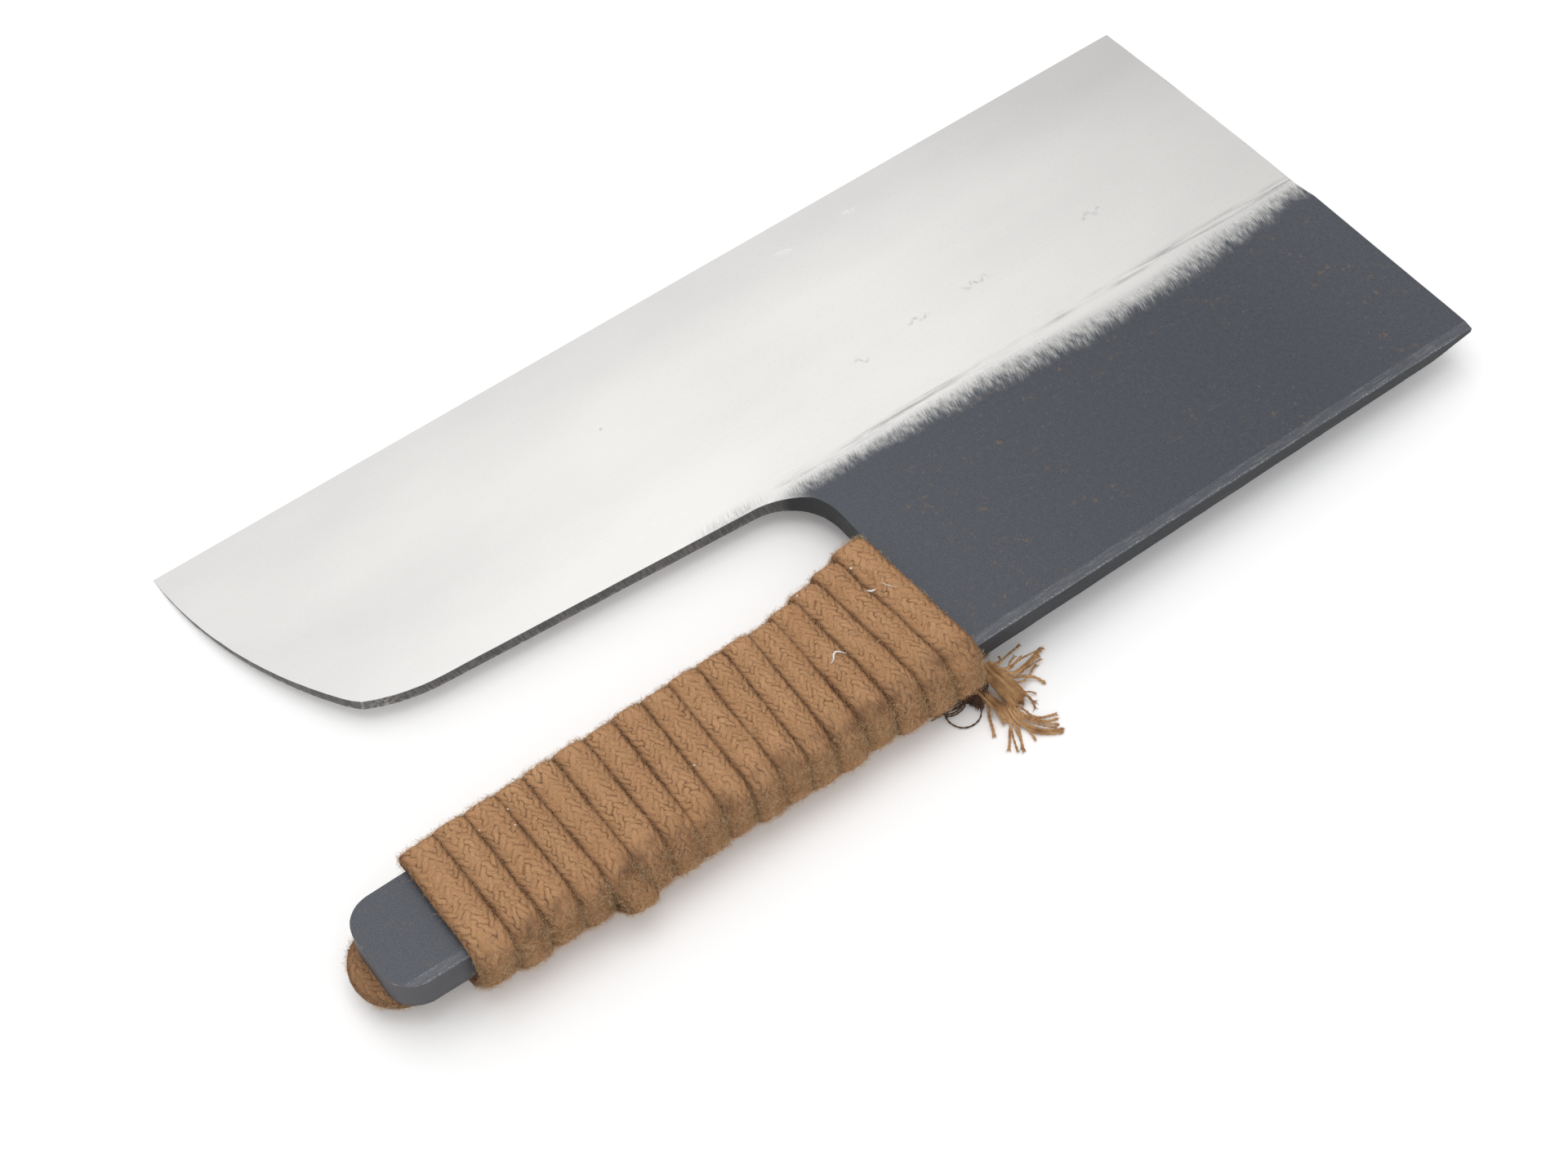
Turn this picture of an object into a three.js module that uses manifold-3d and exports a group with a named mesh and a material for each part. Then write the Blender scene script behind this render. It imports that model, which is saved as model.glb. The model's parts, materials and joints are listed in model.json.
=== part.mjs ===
// Soba knife lying on its flat back: a forged blade with its tang, and one braided cord wound round the tang.
// Millimetres, +Z up. +X runs along the edge from the heel to the front, +Y from the spine to the edge.
// "Depth" is the distance from the edge towards the spine, so a point at a given depth has y = -depth.

import * as THREE from 'three';
import { mergeVertices } from 'three/addons/utils/BufferGeometryUtils.js';
import Module from 'manifold-3d';

const wasm = await Module();
wasm.setup();

// Blade outline, seen from above
const EDGE_LENGTH = 240;
const BLADE_HEIGHT = 111.8;
const SPINE_LENGTH = 128.4;
const HEEL_CURVE_RADIUS = 86;
const HEEL_CORNER_RADIUS = 15;
const HEEL_BACK_SLOPE = THREE.MathUtils.degToRad(4.2);
const FINGER_GAP = 21.8;
const NOTCH_RADIUS = 12.5;
const NOTCH_RADIUS_LIMIT = 0.6;

// Tang outline
const TANG_LENGTH = 122.1;
const TANG_BUTT_WIDTH = 20.6;
const TANG_BUTT_INSET = 2.6;
const TANG_FLARE_LENGTH = 25.6;
const TANG_FLARE_WIDTH = 23.8;
const TANG_SHOULDER_WIDTH = 29.3;
const TANG_FILLET_RADIUS = 7;
const TANG_FILLET_LIMIT = 0.35;
const BUTT_OUTER_RADIUS = 6.5;
const BUTT_INNER_RADIUS = 6;

// Blade thickness: the spine thins evenly from the butt to the front, the ground bevel is a convex clam shape
const BUTT_THICKNESS = 7.1;
const FRONT_THICKNESS = 3.3;
const EDGE_THICKNESS = 0.3;
const HEEL_BEVEL_THICKNESS = 2.6;
const NECK_BEVEL_THICKNESS = 3.2;
const FRONT_BEVEL_THICKNESS = 2.3;
const BEVEL_BELLY = 1.6;
const BEVEL_BELOW_NOTCH = 1.2;
const RIDGE_BLEND_WIDTH = 7.5;
const SPINE_CHAMFER_WIDTH = 1.9;
const SPINE_CHAMFER_DROP = 0.5;
const FRONT_RELIEF_LENGTH = 10;
const FRONT_RELIEF_WIDTH = 7;
const FRONT_RELIEF_RISE = 1.8;

// Cord: a soft braid pressed flat by the winding
const CORD_WIDTH = 5.65;
const CORD_THICKNESS = 3;
const TURN_GAP = 0.6;
const SEAT_GAP = 0.3;
const SHOULDER_GAP = 0.75;
const FIRST_TURN_EXTRA = 1.05;
const SIDE_BULGE = 1.2;
const BARE_BUTT_LENGTH = 12.5;
const BIGHT_SPACING = 11.7;
const BIGHT_OFFSET = -1;
const BIGHT_REACH = 3.5;
const START_BEND_RADIUS = 4;
const TAIL_LEAD = 2;
const TAIL_WIDTH = 4.6;
const YARN_COUNT = 16;
const YARN_DIAMETER = 1.1;
const LONG_YARN_LENGTH = 17;
const SHORT_YARN_LENGTH = 11;
const YARN_LENGTH_SPREAD = 2.4;
const YARN_LENGTH_STEP = THREE.MathUtils.degToRad(137);
const YARN_FAN_START = THREE.MathUtils.degToRad(-120);
const YARN_FAN_END = THREE.MathUtils.degToRad(0);

// Facets
const ARC_SEGMENTS = 14;
const CORD_SIDES = 6;
const YARN_SIDES = 4;
const CORNER_STEPS = 4;
const BEND_STEPS = 6;
const LOOP_STEPS = 12;
const OVERCUT = 5;
const BEVEL_SHARES = [0, 0.12, 0.28, 0.5, 0.75, 1];

// Places that follow from the sizes
const notchX = EDGE_LENGTH - SPINE_LENGTH;
const buttX = notchX - TANG_LENGTH;
const flareX = notchX - TANG_FLARE_LENGTH;
const shoulderInnerDepth = BLADE_HEIGHT - TANG_SHOULDER_WIDTH;
const heelBackDepth = shoulderInnerDepth - FINGER_GAP;
const bevelTopDepth = heelBackDepth - BEVEL_BELOW_NOTCH;
const notchRadius = Math.min(NOTCH_RADIUS, NOTCH_RADIUS_LIMIT * FINGER_GAP);
const tangFilletRadius = Math.min(TANG_FILLET_RADIUS, TANG_FILLET_LIMIT * FINGER_GAP);

const { lerp, inverseLerp } = THREE.MathUtils;
const at = (x, depth) => new THREE.Vector2(x, -depth);

// Depth of the spine, and of the tang's outer side, which draws in towards the butt
function outerDepth(x) {
  const share = Math.min(1, inverseLerp(buttX, notchX, x));
  return lerp(BLADE_HEIGHT - TANG_BUTT_INSET, BLADE_HEIGHT, share);
}

// Depth of the tang's inner side, without the fillet at the notch
const buttInnerDepth = outerDepth(buttX) - TANG_BUTT_WIDTH;
const flareInnerDepth = outerDepth(flareX) - TANG_FLARE_WIDTH;
function innerSideDepth(x) {
  if (x < flareX) return lerp(buttInnerDepth, flareInnerDepth, inverseLerp(buttX, flareX, x));
  return lerp(flareInnerDepth, shoulderInnerDepth, inverseLerp(flareX, notchX, x));
}

// Depth of the tang's inner side with the fillet that runs into the notch
const flareAngle = Math.atan2(flareInnerDepth - shoulderInnerDepth, TANG_FLARE_LENGTH);
const filletReach = tangFilletRadius * Math.tan((Math.PI / 2 - flareAngle) / 2);
const filletCentre = { x: notchX - tangFilletRadius, depth: shoulderInnerDepth - filletReach };
function innerDepth(x) {
  const beyond = x - filletCentre.x;
  if (beyond <= tangFilletRadius * Math.sin(flareAngle)) return innerSideDepth(x);
  const drop = Math.max(0, tangFilletRadius ** 2 - beyond ** 2);
  return filletCentre.depth + Math.sqrt(drop);
}

function spineThickness(x) {
  return lerp(BUTT_THICKNESS, FRONT_THICKNESS, inverseLerp(buttX, EDGE_LENGTH, x));
}

function bevelThickness(x) {
  if (x < notchX) return lerp(HEEL_BEVEL_THICKNESS, NECK_BEVEL_THICKNESS, x / notchX);
  return lerp(NECK_BEVEL_THICKNESS, FRONT_BEVEL_THICKNESS, inverseLerp(notchX, EDGE_LENGTH, x));
}

// Solids

function toSolid(geometry) {
  const bare = geometry.clone();
  bare.deleteAttribute('normal');
  bare.deleteAttribute('uv');
  const merged = mergeVertices(bare, 1e-5);
  const vertProperties = new Float32Array(merged.attributes.position.array);
  const triVerts = new Uint32Array(merged.index.array);
  return new wasm.Manifold(new wasm.Mesh({ numProp: 3, vertProperties, triVerts }));
}

function toGeometry(solid) {
  const mesh = solid.getMesh();
  const geometry = new THREE.BufferGeometry();
  geometry.setAttribute('position', new THREE.BufferAttribute(mesh.vertProperties, 3));
  geometry.setIndex(new THREE.BufferAttribute(mesh.triVerts, 1));
  geometry.computeVertexNormals();
  return geometry;
}

// Closed skin over rings of equal point counts, with the given triangles as its end caps
function skin(rings, cap) {
  const count = rings[0].length;
  const positions = rings.flat().flatMap((point) => point.toArray());
  const index = [];
  for (let ring = 0; ring + 1 < rings.length; ring += 1) {
    for (let side = 0; side < count; side += 1) {
      const a = ring * count + side;
      const b = ring * count + ((side + 1) % count);
      index.push(a, b, b + count, a, b + count, a + count);
    }
  }
  const last = (rings.length - 1) * count;
  cap.forEach(([a, b, c]) => index.push(a, c, b, last + a, last + b, last + c));
  const geometry = new THREE.BufferGeometry();
  geometry.setAttribute('position', new THREE.Float32BufferAttribute(positions, 3));
  geometry.setIndex(index);
  geometry.computeVertexNormals();
  return geometry;
}

// Round or flattened tube: one ring square to the route at each stop of { point, normal }
function tube(stops, width, thickness, sides) {
  const height = sides % 4 === 0 ? thickness : thickness / Math.cos(Math.PI / sides);
  const rings = stops.map((stop, i) => {
    const before = stops[Math.max(0, i - 1)].point;
    const after = stops[Math.min(stops.length - 1, i + 1)].point;
    const incoming = stop.point.clone().sub(before).normalize();
    const outgoing = after.clone().sub(stop.point).normalize();
    const along = incoming.add(outgoing).normalize();
    const across = stop.normal.clone().cross(along).normalize();
    const outward = along.clone().cross(across);
    return Array.from({ length: sides }, (_, side) => {
      const angle = (2 * Math.PI * side) / sides;
      return stop.point.clone()
        .addScaledVector(across, (width / 2) * Math.cos(angle))
        .addScaledVector(outward, (height / 2) * Math.sin(angle));
    });
  });
  const cap = Array.from({ length: sides - 2 }, (_, i) => [0, i + 1, i + 2]);
  return skin(rings, cap);
}

// Blade

// Adds a straight run and a round corner between two neighbouring corners of an outline
function roundCorner(shape, before, corner, after, radius) {
  const back = before.clone().sub(corner).normalize();
  const ahead = after.clone().sub(corner).normalize();
  const half = Math.acos(back.dot(ahead)) / 2;
  const reach = radius / Math.tan(half);
  const centre = back.clone().add(ahead).setLength(radius / Math.sin(half)).add(corner);
  const start = corner.clone().addScaledVector(back, reach).sub(centre).angle();
  const end = corner.clone().addScaledVector(ahead, reach).sub(centre).angle();
  shape.absarc(centre.x, centre.y, radius, start, end, back.cross(ahead) > 0);
}

// Heel: a small corner arc that touches the back of the heel and runs smoothly into the long heel curve
function addHeel(shape) {
  const large = HEEL_CURVE_RADIUS;
  const small = HEEL_CORNER_RADIUS;
  const slope = Math.tan(HEEL_BACK_SLOPE);
  const rise = heelBackDepth - slope * notchX - small / Math.cos(HEEL_BACK_SLOPE);
  const a = 1 + slope ** 2;
  const b = slope * rise - large;
  const c = large ** 2 + rise ** 2 - (large - small) ** 2;
  const cornerX = (-b - Math.sqrt(b ** 2 - a * c)) / a;
  const corner = at(cornerX, rise + slope * cornerX);
  const toHeel = corner.clone().sub(at(large, 0));
  const onBack = at(-Math.sin(HEEL_BACK_SLOPE), Math.cos(HEEL_BACK_SLOPE)).angle();
  shape.absarc(corner.x, corner.y, small, onBack, toHeel.angle(), true);
  shape.absarc(large, 0, large, toHeel.angle(), Math.PI, true);
}

function bladeOutline() {
  const shoulder = at(notchX, BLADE_HEIGHT);
  const buttOuter = at(buttX, outerDepth(buttX));
  const buttInner = at(buttX, buttInnerDepth);
  const flare = at(flareX, flareInnerDepth);
  const notchInner = at(notchX, shoulderInnerDepth);
  const notchHeel = at(notchX, heelBackDepth);
  const heelBack = at(0, heelBackDepth - Math.tan(HEEL_BACK_SLOPE) * notchX);
  const shape = new THREE.Shape();
  shape.moveTo(0, 0);
  shape.lineTo(EDGE_LENGTH, 0);
  shape.lineTo(EDGE_LENGTH, -BLADE_HEIGHT);
  shape.lineTo(shoulder.x, shoulder.y);
  roundCorner(shape, shoulder, buttOuter, buttInner, BUTT_OUTER_RADIUS);
  roundCorner(shape, buttOuter, buttInner, flare, BUTT_INNER_RADIUS);
  shape.lineTo(flare.x, flare.y);
  roundCorner(shape, flare, notchInner, notchHeel, tangFilletRadius);
  roundCorner(shape, notchInner, notchHeel, heelBack, notchRadius);
  addHeel(shape);
  return shape;
}

// Section across the blade as points of (depth, height), from the edge over the bevel and spine to the flat back
function bladeSection(x) {
  const spine = outerDepth(x);
  const top = spineThickness(x);
  const bevelRise = bevelThickness(x) - EDGE_THICKNESS;
  const bevel = BEVEL_SHARES.map((share) => {
    const height = EDGE_THICKNESS + bevelRise * (1 - (1 - share) ** BEVEL_BELLY);
    return new THREE.Vector2(share * bevelTopDepth, height);
  });
  const past = spine + OVERCUT;
  const chamferEnd = top - (SPINE_CHAMFER_DROP * (SPINE_CHAMFER_WIDTH + OVERCUT)) / SPINE_CHAMFER_WIDTH;
  const reliefShare = Math.max(0, x - (EDGE_LENGTH - FRONT_RELIEF_LENGTH)) / FRONT_RELIEF_LENGTH;
  const reliefSlope = (FRONT_RELIEF_RISE * reliefShare) / FRONT_RELIEF_WIDTH;
  return [
    new THREE.Vector2(-OVERCUT, 0),
    new THREE.Vector2(-OVERCUT, EDGE_THICKNESS),
    ...bevel,
    new THREE.Vector2(bevelTopDepth + RIDGE_BLEND_WIDTH, top),
    new THREE.Vector2(spine - SPINE_CHAMFER_WIDTH, top),
    new THREE.Vector2(past, chamferEnd),
    new THREE.Vector2(past, reliefSlope * (FRONT_RELIEF_WIDTH + OVERCUT)),
    new THREE.Vector2(spine - FRONT_RELIEF_WIDTH, 0),
  ];
}

function bladeGeometry() {
  const depth = BUTT_THICKNESS + 2 * OVERCUT;
  const plate = new THREE.ExtrudeGeometry(bladeOutline(), {
    depth,
    bevelEnabled: false,
    curveSegments: ARC_SEGMENTS,
  });
  plate.translate(0, 0, -OVERCUT);
  const stations = [buttX - OVERCUT, notchX, EDGE_LENGTH - FRONT_RELIEF_LENGTH, EDGE_LENGTH + OVERCUT];
  const rings = stations.map((x) => bladeSection(x).map((p) => new THREE.Vector3(x, -p.x, p.y)));
  const cap = THREE.ShapeUtils.triangulateShape(bladeSection(notchX).map((p) => new THREE.Vector2(-p.x, p.y)), []);
  const thickness = skin(rings, cap);
  return toGeometry(toSolid(plate).intersect(toSolid(thickness)));
}

// Cord

const pitch = CORD_WIDTH + TURN_GAP;
const seat = SEAT_GAP + CORD_THICKNESS / 2;
const layer = SEAT_GAP + CORD_THICKNESS;
const firstTurnX = notchX - SHOULDER_GAP - CORD_WIDTH / 2;
const turnCount = Math.floor((notchX - SHOULDER_GAP - buttX - BARE_BUTT_LENGTH) / pitch);
const bightDepth = (outerDepth(buttX) + buttInnerDepth) / 2 + BIGHT_OFFSET;
const tailLegDepth = bightDepth + BIGHT_SPACING / 2;
const startLegDepth = bightDepth - BIGHT_SPACING / 2;

// Corners that a turn goes round at x, as { depth, z, from, to } with the normal's angles at each corner
function turnCorners(x) {
  const half = CORD_WIDTH / 2;
  const inner = Math.min(innerDepth(x + half / 2), innerDepth(x + half) + CORD_THICKNESS / 2);
  const outer = outerDepth(x + half);
  const top = spineThickness(x - half);
  const legOuter = tailLegDepth + half;
  const legInner = startLegDepth - half;
  const sideSlant = Math.atan2(SIDE_BULGE, top);
  const outerSlant = Math.atan2(legOuter - outer - SIDE_BULGE, layer);
  const innerSlant = -Math.PI + Math.atan2(legInner - inner, layer);
  const right = Math.PI / 2;
  return [
    { depth: inner, z: top, from: 2 * right, to: right },
    { depth: outer, z: top, from: right, to: sideSlant },
    { depth: outer + SIDE_BULGE, z: 0, from: sideSlant, to: outerSlant },
    { depth: legOuter, z: -layer, from: outerSlant, to: -right },
    { depth: legInner, z: -layer, from: -right, to: innerSlant },
    { depth: inner, z: 0, from: innerSlant, to: -2 * right },
  ];
}

// Stop of a turn: the cord's middle stands off the corner along its normal
function cornerStop(x, corner, step) {
  const angle = lerp(corner.from, corner.to, step / (CORNER_STEPS - 1));
  const normal = new THREE.Vector3(0, -Math.cos(angle), Math.sin(angle));
  const point = new THREE.Vector3(x, -corner.depth, corner.z).addScaledVector(normal, seat);
  return { point, normal };
}

// Share of the pitch that each stop of a turn has gained: none across the top, where a turn lies square to the tang
function turnShares() {
  const corners = turnCorners(lerp(buttX, notchX, 0.5));
  const stops = corners.flatMap((corner) => Array.from({ length: CORNER_STEPS }, (_, i) => cornerStop(0, corner, i)));
  const lengths = stops.map((stop, i) => stop.point.distanceTo(stops[(i + 1) % stops.length].point));
  const squareStops = 2 * CORNER_STEPS - 1;
  lengths.fill(0, 0, squareStops);
  const slanted = lengths.reduce((sum, length) => sum + length, 0);
  let travelled = 0;
  return lengths.map((length) => {
    const share = travelled / slanted;
    travelled += length;
    return share;
  });
}

// The winding: in from the underside at the shoulder, round the tang turn by turn, out on the underside at the butt
function windingStops() {
  const shares = turnShares();
  const down = new THREE.Vector3(0, 0, -1);
  const startDepth = startLegDepth - START_BEND_RADIUS - SEAT_GAP;
  const stops = [{ point: new THREE.Vector3(firstTurnX, -startDepth, -seat), normal: down }];
  const entry = turnCorners(firstTurnX).at(-1);
  const squareEntry = { ...entry, from: -Math.PI / 2 };
  for (let step = 0; step < CORNER_STEPS; step += 1) stops.push(cornerStop(firstTurnX, squareEntry, step));
  const stopsInTurn = shares.length;
  const stopsInLastTurn = CORNER_STEPS * 4;
  const total = (turnCount - 1) * stopsInTurn + stopsInLastTurn;
  for (let i = 0; i <= total; i += 1) {
    const travel = Math.floor(i / stopsInTurn) + shares[i % stopsInTurn];
    const x = firstTurnX - FIRST_TURN_EXTRA * Math.min(1, travel) - pitch * travel;
    const corner = turnCorners(x)[Math.floor((i % stopsInTurn) / CORNER_STEPS)];
    stops.push(cornerStop(x, corner, i % CORNER_STEPS));
  }
  const [beforeEnd, end] = stops.slice(-2);
  end.point.sub(beforeEnd.point).setLength(CORD_WIDTH).add(beforeEnd.point);
  return stops;
}

// Least distance between the sides of neighbouring turns, on points along the winding
function leastTurnGap(stops) {
  const fine = [];
  const parts = 4;
  for (let i = 0; i + 1 < stops.length; i += 1) {
    for (let part = 0; part < parts; part += 1) {
      fine.push(stops[i].point.clone().lerp(stops[i + 1].point, part / parts));
    }
  }
  const halfTurn = CORNER_STEPS * 3 * parts;
  let least = Infinity;
  for (let i = 0; i < fine.length; i += 1) {
    const end = Math.min(fine.length, i + 3 * halfTurn);
    for (let j = i + halfTurn; j < end; j += 1) {
      least = Math.min(least, fine[i].distanceTo(fine[j]) - CORD_WIDTH);
    }
  }
  return least;
}

// The bight: a leg laid under the turns to the butt, a loop past the butt, and a leg back that bends into the first turn
function bightStops() {
  const up = new THREE.Vector3(0, 0, 1);
  const stop = (x, depth) => ({ point: new THREE.Vector3(x, -depth, -seat), normal: up });
  const radius = BIGHT_SPACING / 2;
  const loopX = buttX - BIGHT_REACH + CORD_WIDTH / 2 + radius;
  const stops = [stop(firstTurnX + CORD_WIDTH / 2 + TAIL_LEAD, tailLegDepth)];
  for (let step = 0; step <= LOOP_STEPS; step += 1) {
    const angle = (Math.PI * step) / LOOP_STEPS;
    stops.push(stop(loopX - radius * Math.sin(angle), bightDepth + radius * Math.cos(angle)));
  }
  const bendX = firstTurnX - START_BEND_RADIUS;
  const bendDepth = startLegDepth - START_BEND_RADIUS;
  for (let step = 0; step <= BEND_STEPS; step += 1) {
    const angle = (Math.PI / 2) * (step / BEND_STEPS);
    const x = bendX + START_BEND_RADIUS * Math.sin(angle);
    stops.push(stop(x, bendDepth + START_BEND_RADIUS * Math.cos(angle)));
  }
  return stops;
}

// The tail: the cord's loose end comes out under the spine, sinks to the table and frays into yarns
function tailGeometry(root) {
  const up = new THREE.Vector3(0, 0, 1);
  const restZ = CORD_THICKNESS / 2;
  const droop = (x, y, share) => new THREE.Vector3(root.x + x, root.y + y, lerp(root.z, restZ, share));
  const route = new THREE.CatmullRomCurve3([
    droop(0, 0, 0),
    droop(1.3, 0, 0.02),
    droop(2.6, -1.3, 0.3),
    droop(3.1, -3.6, 0.75),
    droop(3.1, -5.8, 1),
  ]);
  const stops = route.getPoints(BEND_STEPS + 2).map((point) => ({ point, normal: up }));
  let solid = toSolid(tube(stops, TAIL_WIDTH, CORD_THICKNESS, CORD_SIDES));
  const mouth = stops[stops.length - 1].point;
  for (let i = 0; i < YARN_COUNT; i += 1) {
    const share = i / (YARN_COUNT - 1);
    const angle = lerp(YARN_FAN_START, YARN_FAN_END, share);
    const middleLength = lerp(LONG_YARN_LENGTH, SHORT_YARN_LENGTH, share);
    const length = middleLength + YARN_LENGTH_SPREAD * Math.sin(YARN_LENGTH_STEP * i);
    const heading = new THREE.Vector3(Math.cos(angle), Math.sin(angle), 0);
    const place = (reach, z) => mouth.clone().addScaledVector(heading, reach).setZ(z);
    const startZ = restZ + (YARN_DIAMETER / 2) * Math.cos(YARN_LENGTH_STEP * i);
    const points = [place(0, startZ), place(length / 2, YARN_DIAMETER), place(length, YARN_DIAMETER / 2)];
    const yarn = points.map((point) => ({ point, normal: up }));
    solid = solid.add(toSolid(tube(yarn, YARN_DIAMETER, YARN_DIAMETER, YARN_SIDES)));
  }
  return toGeometry(solid);
}

// Assembly

const steel = new THREE.MeshStandardMaterial({ color: 0x6d7178, roughness: 0.4, metalness: 0.9 });
const cotton = new THREE.MeshStandardMaterial({ color: 0xb0845c, roughness: 0.95, metalness: 0 });

function piece(name, geometry, material) {
  const mesh = new THREE.Mesh(geometry, material);
  mesh.name = name;
  return mesh;
}

const winding = windingStops();
console.log(`least gap between turns: ${leastTurnGap(winding).toFixed(2)} mm over ${turnCount} turns`);

const windingGeometry = tube(winding, CORD_WIDTH, CORD_THICKNESS, CORD_SIDES);
const bight = bightStops();

// The knife rests on its edge and on the winding, so it leans about the edge by the steepest point of the winding
const surface = windingGeometry.attributes.position;
let leanAngle = 0;
for (let i = 0; i < surface.count; i += 1) {
  leanAngle = Math.max(leanAngle, Math.atan2(-surface.getZ(i), -surface.getY(i)));
}

const knife = new THREE.Group();
knife.rotation.x = -leanAngle;
knife.add(piece('blade', bladeGeometry(), steel));
knife.add(piece('cord_winding', windingGeometry, cotton));
knife.add(piece('cord_bight', tube(bight, CORD_WIDTH, CORD_THICKNESS, CORD_SIDES), cotton));
knife.updateMatrixWorld();

const tailRoot = bight[0].point.clone().setX(bight[0].point.x + SEAT_GAP).applyMatrix4(knife.matrixWorld);

const part = new THREE.Group();
part.add(knife);
part.add(piece('cord_tail', tailGeometry(tailRoot), cotton));

// Origin under the middle of the part, on the table
const box = new THREE.Box3().setFromObject(part, true);
const centre = box.getCenter(new THREE.Vector3());
part.position.set(-centre.x, -centre.y, -box.min.z);
part.updateMatrixWorld();

export default part;
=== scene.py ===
"""Soba knife: the looks of its forged blade and of the cotton cord wound on its tang.

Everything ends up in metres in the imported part's frame. The forms are laid out in millimetres in the
knife's own frame first: along the edge from the heel, depth from the edge towards the spine, and height
over the flat back. The knife leans about its edge, because it rests on the edge and on the winding.
"""

import json
import logging
import math
import random
from dataclasses import dataclass
from enum import Enum, IntEnum
from typing import Any, Optional, Sequence, Union

import bmesh
import bpy
from bmesh.types import BMesh, BMVert
from bpy.types import Material, NodeSocket, Object, World
from mathutils import Matrix, Vector, noise


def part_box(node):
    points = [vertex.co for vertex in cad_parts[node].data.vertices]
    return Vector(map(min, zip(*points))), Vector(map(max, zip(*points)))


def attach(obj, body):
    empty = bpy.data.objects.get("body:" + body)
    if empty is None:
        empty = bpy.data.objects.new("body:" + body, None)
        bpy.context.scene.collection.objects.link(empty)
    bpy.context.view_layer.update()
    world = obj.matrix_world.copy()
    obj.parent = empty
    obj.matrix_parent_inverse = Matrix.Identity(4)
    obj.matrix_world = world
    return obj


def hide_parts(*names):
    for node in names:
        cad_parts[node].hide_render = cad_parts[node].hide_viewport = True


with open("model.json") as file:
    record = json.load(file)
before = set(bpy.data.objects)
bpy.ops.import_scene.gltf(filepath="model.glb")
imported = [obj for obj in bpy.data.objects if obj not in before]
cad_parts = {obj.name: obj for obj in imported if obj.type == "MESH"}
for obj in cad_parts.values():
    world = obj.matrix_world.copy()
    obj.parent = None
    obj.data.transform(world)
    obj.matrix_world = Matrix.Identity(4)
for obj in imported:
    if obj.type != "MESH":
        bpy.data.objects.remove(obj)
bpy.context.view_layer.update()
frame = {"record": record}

Span = tuple[float, float]
Place = tuple[float, float, float]
Corner = tuple[float, float, float, float, float]
MM = 0.001
BODY = "root"
BRAID_UV = "braid"
RIGHT = math.pi / 2
TURN = 2 * math.pi
MERGE = 1e-6
FINE_MERGE = 1e-7
UP = Vector((0.0, 0.0, 1.0))
log = logging.getLogger("soba_knife")


class Slot(Enum):
    """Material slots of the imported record."""

    STEEL = "forged_steel"
    COTTON = "cotton_cord"


class BladeZone(IntEnum):
    """Material index of each zone of the blade."""

    FACE = 0
    WALL = 1
    ARRIS = 2
    BACK = 3


def lerp(start: float, end: float, share: float) -> float:
    """Straight line between two values."""
    return start + (end - start) * share


def clamp(value: float, low: float = 0.0, high: float = 1.0) -> float:
    """Value held between two limits."""
    return max(low, min(high, value))


def ease(share: float) -> float:
    """Smooth step from 0 to 1 over a share of 0 to 1."""
    held = clamp(share)
    return held * held * (3.0 - 2.0 * held)


# Form of the knife


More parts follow.
